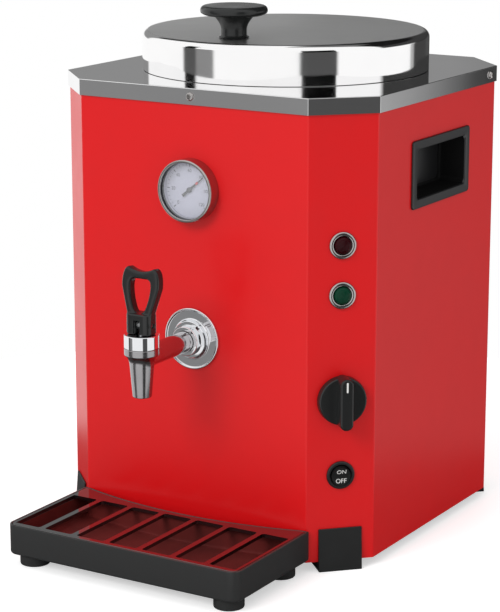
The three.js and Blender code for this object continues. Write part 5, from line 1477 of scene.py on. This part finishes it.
@dataclass
class PowerSwitch:
    """The round rocker switch below the thermostat."""

    flange: float = 11.85
    well: float = 9.1
    well_floor: float = -6.0
    rocker: float = 8.0
    rocker_top: float = 4.6
    wedge: float = 9.0
    dish: float = 1.6
    word_y: float = 4.1
    tilt: float = 9.0

    def level(self, y: float) -> float:
        """Gives the rocker's height at a distance from its middle."""
        return self.rocker_top - self.dish * (1 - abs(y / self.wedge) ** 1.5)

    def build(self) -> None:
        """Builds the surround and the rocker, which rests with its lower half pressed in."""
        place = Opening.SWITCH.place
        flange, well, wedge = self.flange, self.well, self.wedge
        profile = [(0.0, -19.0), (9.6, -19.0), (10.0, -18.6), (10.0, GAP), (11.6, GAP), (flange, 0.5), (flange, 1.0)]
        profile += arc((flange - 1.2, 1.0), 1.2, 10, 90, 6)
        profile += [(well + 0.3, 2.2), (well, 1.9), (well, self.well_floor), (0.0, self.well_floor)]
        Workshop.stand("switch_surround", Workshop.turned(profile, 80), [BLACK_PLASTIC], "root", "switch_body",
                       place=place)
        face = [(-wedge, -3.0), (wedge, -3.0)] + [(y, self.level(y)) for y in (wedge * (5 - i) / 5 for i in range(11))]
        block = Workshop.plate([face], -10.0, 10.0, place=across())
        rocker = Workshop.carved(block, [Workshop.rod(self.rocker, -3.0, 8.0, facets=64)], "INTERSECT")
        marks = Form()
        slope = math.degrees(math.atan2(self.dish * 1.3, wedge))
        for side, word in ((1, "ON"), (-1, "OFF")):
            spot = shift(0.0, side * self.word_y, self.level(self.word_y))
            marks.take(Workshop.lettering(word, 5.3, 0.5, spot @ spin(side * slope, "X")))
        whole = Form().take(Workshop.eased(rocker, 0.5, 40), finish=0).take(marks.mesh(), finish=1).mesh()
        Workshop.stand("switch_rocker_cap", whole, [BAKELITE, MARK_WHITE], "rocker", "switch_rocker",
                       place=place @ spin(self.tilt, "X"))


@dataclass
class DripTray:
    """The drip tray and its lift-out slotted top."""

    half: float = 112.0
    front: float = 262.0
    corner: float = 9.0
    back: float = -148.3
    bow: float = 16.0
    flat: float = 6.0
    low: float = 10.0
    lower_edge: float = 2.5
    top: float = 36.0
    rim: float = 2.0
    wall: float = 5.0
    floor: float = 3.0
    foot: float = 12.5
    foot_inset: float = 17.0
    grille: float = 3.0
    pitch: float = 32.0
    bar: float = 5.0
    slots: int = 7
    slots_end: float = -172.0

    def plan(self, inset: float) -> list[Point]:
        """Gives the tray's plan: round front corners, and a hollow arc between two flats at the back.

        Args:
            inset: how far the plan moves inwards.

        Returns:
            The plan's points, as many for every inset.
        """
        arc_half = self.half - self.flat
        bow_radius = (arc_half ** 2 + self.bow ** 2) / (2 * self.bow)
        centre = self.back - self.bow + bow_radius
        radius = bow_radius + inset
        half, y, corner = self.half - inset, -self.front + inset, max(self.corner - inset, 1.0)
        ends = min(math.acos((centre - self.back + inset) / radius), math.asin(half / radius))
        rear = centre - radius * math.cos(ends)
        points = fillet([(-half, rear, 0.0), (-half, y, corner), (half, y, corner), (half, rear, 0.0)], 10)
        angles = [ends * (1 - 2 * i / 28) for i in range(29)]
        return points + [(radius * math.sin(a), centre - radius * math.cos(a)) for a in angles]

    def build(self) -> None:
        """Builds the tray and its slotted top."""
        ledge, depth, edge = self.top - self.grille - GAP, self.low + self.floor, self.lower_edge
        outside = [(edge + 3.0, self.low)] + arc((edge, self.low + edge), edge, -90.0, -180.0, 5)
        outside += [(0.0, self.top - 0.7), (0.2, self.top - 0.2), (0.7, self.top), (self.rim - 0.3, self.top),
                    (self.rim, self.top - 0.3), (self.rim, ledge), (self.wall - 0.4, ledge)]
        well = [(self.wall, ledge - 0.4), (self.wall + 0.2, depth + 3.0), (self.wall + 1.1, depth + 0.9),
                (self.wall + 3.2, depth)]
        # Finish 1, on the well's walls and on its floor below, is the dark red painted reflection of the red front.
        form = Form()
        form.tiers(self.plan, outside + well, finishes=[0] * len(outside) + [1] * len(well))
        form.bm.faces.ensure_lookup_table()
        form.bm.faces[-1].material_index = 1
        pad = Workshop.turned([(0.0, 0.0), (self.foot - 1.2, 0.0), (self.foot - 0.3, 0.4), (self.foot, 1.2),
                               (self.foot, 11.5), (0.0, 11.5)], 48)
        side, rows = self.half - self.foot_inset, (-self.front + self.foot_inset, self.back - self.foot_inset)
        form.take(Repeats.copies(pad, [shift(x, y) for x in (-side, side) for y in rows], TUB_BLACK))
        Workshop.stand("tray_tub", form.mesh(), [TUB_BLACK, WELL_PAINTED_REFLECTION], "tray", "drip_tray")
        self.slotted_top()

    def slotted_top(self) -> None:
        """The flat top with its row of long slots."""
        start, end = -self.front + self.rim + 5.0, self.slots_end
        blank = Workshop.plate([self.plan(self.rim + GAP)], self.top - self.grille, self.top, 0.5)
        mesh = Repeats.slotted(blank, slot_width=self.pitch - self.bar, slot_height=end - start, corner=self.bar / 2,
                               columns=self.slots, rows=1, step_x=self.pitch, step_y=1.0,
                               middle=(0.0, (start + end) / 2, self.top - 10.0), depth=20.0,
                               reach=self.half - self.rim - 2 * GAP - self.bar / 2, finish=GLOSS_BLACK.material())
        Workshop.stand("tray_slotted_top", Workshop.eased(mesh, 0.7, 60), [GLOSS_BLACK], "grille", "drip_grille")


@dataclass
class Studio:
    """The floor, the light and the camera.

    Gloss sees screens, each with the heading in degrees at which it begins and its level, and behind the object a
    backdrop whose level changes with height. The pairs from skyline to aside_turn are where one look fades into
    the next.
    """

    floor_radius: float = 0.6
    floor_tone: Point = (0.79, 0.81)
    floor_glow: float = 0.5
    floor_in_gloss: float = 0.1
    floor_mirrored: Point = (0.33, 0.39)
    sun_strength: float = 1.3
    sun_heading: float = -10.0
    sun_rise: float = 35.0
    sun_size: float = 25.0
    fill: float = 0.76
    backdrop_levels: tuple[Point, ...] = ((0.0, 0.27), (0.43, 0.27), (0.48, 0.05), (0.8, 0.05), (0.86, 1.0))
    screens: tuple[Point, ...] = ((-180.0, 0.07), (-149.0, 1.0), (-58.0, 0.09), (-45.0, 0.25), (-28.5, 1.0),
                                  (41.5, 0.08), (71.5, 1.0), (148.0, 0.42), (153.5, 0.05))
    skyline: Point = (0.02, 0.06)
    starkness: Point = (0.1, 0.2)
    ceiling: Point = (0.4, 0.5)
    behind_turn: Point = (1.92, 2.0)
    behind_rise: Point = (0.03, 0.1)
    aside_turn: Point = (-26.0, -18.0)
    aside_level: float = 0.15
    camera_place: Triple = (0.9535, -1.5782, 0.6423)
    camera_side: Triple = (0.8548, 0.5189, 0.0)
    camera_up: Triple = (-0.1233, 0.2031, 0.9714)
    camera_back: Triple = (0.5041, -0.8304, 0.2376)
    lens: float = 128.91

    def build(self) -> None:
        """Sets the whole stage."""
        bpy.context.scene.view_settings.view_transform = "Standard"
        self.floor()
        self.world()
        self.sun()
        self.camera()

    def floor(self) -> None:
        """A plain pale round floor, which the camera sees against white with the object's shadow on it."""
        form = Form()
        form.cap(form.loop((x / MM, y / MM, 0.0) for x, y in circle(self.floor_radius, 128)))
        mesh = form.mesh()
        mesh.transform(Matrix.Scale(MM, 4))
        material = bpy.data.materials.new("pale_floor")
        material.use_nodes = True
        graph = Graph(material.node_tree)
        where = graph.add("ShaderNodeTexCoord").outputs["Object"]
        tone = graph.span(graph.noise(where, 6.0), 0.3, 0.7, *self.floor_tone)
        paint = graph.out("ShaderNodeBsdfDiffuse",
                          {"Color": graph.out("ShaderNodeCombineColor", {0: tone, 1: tone, 2: tone})})
        glow = graph.out("ShaderNodeEmission", {"Strength": self.floor_glow})
        seen = graph.out("ShaderNodeAddShader", {0: paint, 1: glow})
        dim = graph.out("ShaderNodeBsdfDiffuse", {"Color": grey(self.floor_in_gloss)})
        path = graph.add("ShaderNodeLightPath").outputs
        away = graph.add("ShaderNodeVectorMath", {0: where}, operation="LENGTH").outputs["Value"]
        open_far = graph.out("ShaderNodeMixShader", {0: graph.span(away, *self.floor_mirrored), 1: dim,
                                                     2: graph.out("ShaderNodeBsdfTransparent")})
        matt = graph.out("ShaderNodeMixShader", {0: path["Is Glossy Ray"], 1: paint, 2: open_far})
        whole = graph.out("ShaderNodeMixShader", {0: path["Is Camera Ray"], 1: matt, 2: seen})
        graph.add("ShaderNodeOutputMaterial", {"Surface": whole})
        mesh.materials[0] = material
        Workshop.hold(mesh, "floor")

    def world(self) -> None:
        """White to the camera; a studio of white screens and dark gaps to gloss; even light to the rest."""
        world = bpy.data.worlds.new("studio")
        bpy.context.scene.world = world
        world.use_nodes = True
        graph = Graph(world.node_tree)
        way = graph.add("ShaderNodeSeparateXYZ", {0: graph.add("ShaderNodeTexCoord").outputs["Generated"]}).outputs
        heading = graph.math("ARCTAN2", way[0], graph.math("MULTIPLY", way[1], -1.0))
        stops = [(0.0, self.screens[0][1])]
        for (_, before), (angle, level) in zip(self.screens, self.screens[1:]):
            stops += [((angle - 1.0 + 180.0) / 360.0, before), ((angle + 1.0 + 180.0) / 360.0, level)]
        round_about = graph.ramp(graph.span(heading, -math.pi, math.pi), stops)
        stark = graph.span(round_about, *self.starkness)
        above = graph.blend(graph.span(way[2], *self.skyline), round_about, stark)
        high = graph.blend(graph.span(way[2], *self.ceiling), above, grey(1.0))
        rear = graph.ramp(way[2], self.backdrop_levels)
        behind = graph.math("MULTIPLY", graph.span(graph.math("ABSOLUTE", heading), *self.behind_turn),
                            graph.span(way[2], *self.behind_rise))
        turn = [math.radians(angle) for angle in self.aside_turn]
        aside = graph.span(graph.math("ARCTAN2", way[0], way[1]), *turn, 1.0, self.aside_level)
        screens = graph.blend(behind, high, graph.blend(aside, grey(0.0), rear))
        path = graph.add("ShaderNodeLightPath").outputs
        glossy = graph.math("MAXIMUM", path["Is Glossy Ray"], path["Is Transmission Ray"])
        light = graph.blend(glossy, grey(self.fill), screens)
        whole = graph.blend(path["Is Camera Ray"], light, grey(1.0))
        graph.add("ShaderNodeOutputWorld", {"Surface": graph.out("ShaderNodeBackground", {"Color": whole})})

    def sun(self) -> None:
        """A broad soft light from the front left, which gloss doesn't show."""
        lamp = bpy.data.lights.new("soft_front_light", "SUN")
        lamp.energy, lamp.angle = self.sun_strength, math.radians(self.sun_size)
        holder = bpy.data.objects.new("soft_front_light", lamp)
        bpy.context.scene.collection.objects.link(holder)
        holder.rotation_euler = Euler((math.radians(90.0 - self.sun_rise), 0.0, math.radians(self.sun_heading)))
        holder.visible_glossy = False

    def camera(self) -> None:
        """The camera at the photograph's viewing angle."""
        camera = bpy.data.cameras.new("camera")
        camera.sensor_fit, camera.sensor_height, camera.lens = "VERTICAL", 36.0, self.lens
        holder = bpy.data.objects.new("camera", camera)
        bpy.context.scene.collection.objects.link(holder)
        axes = [Vector(axis).normalized() for axis in (self.camera_side, self.camera_up, self.camera_back)]
        holder.matrix_world = shift(*self.camera_place) @ Matrix(axes).transposed().to_4x4()
        bpy.context.scene.camera = holder


def main() -> None:
    """Builds every sub-assembly in order."""
    logging.basicConfig(level=logging.INFO, format="%(name)s: %(message)s")
    assemblies = [Housing(), Tank(), Lid(), Thermometer(), Tap(), Lamp("red", Opening.RED_LAMP, RED_LENS),
                  Lamp("green", Opening.GREEN_LAMP, GREEN_LENS), Thermostat(), PowerSwitch(), DripTray(), Studio()]
    for assembly in assemblies:
        assembly.build()
        LOG.info("%s is done", type(assembly).__name__)


if __name__ == "__main__":
    main()
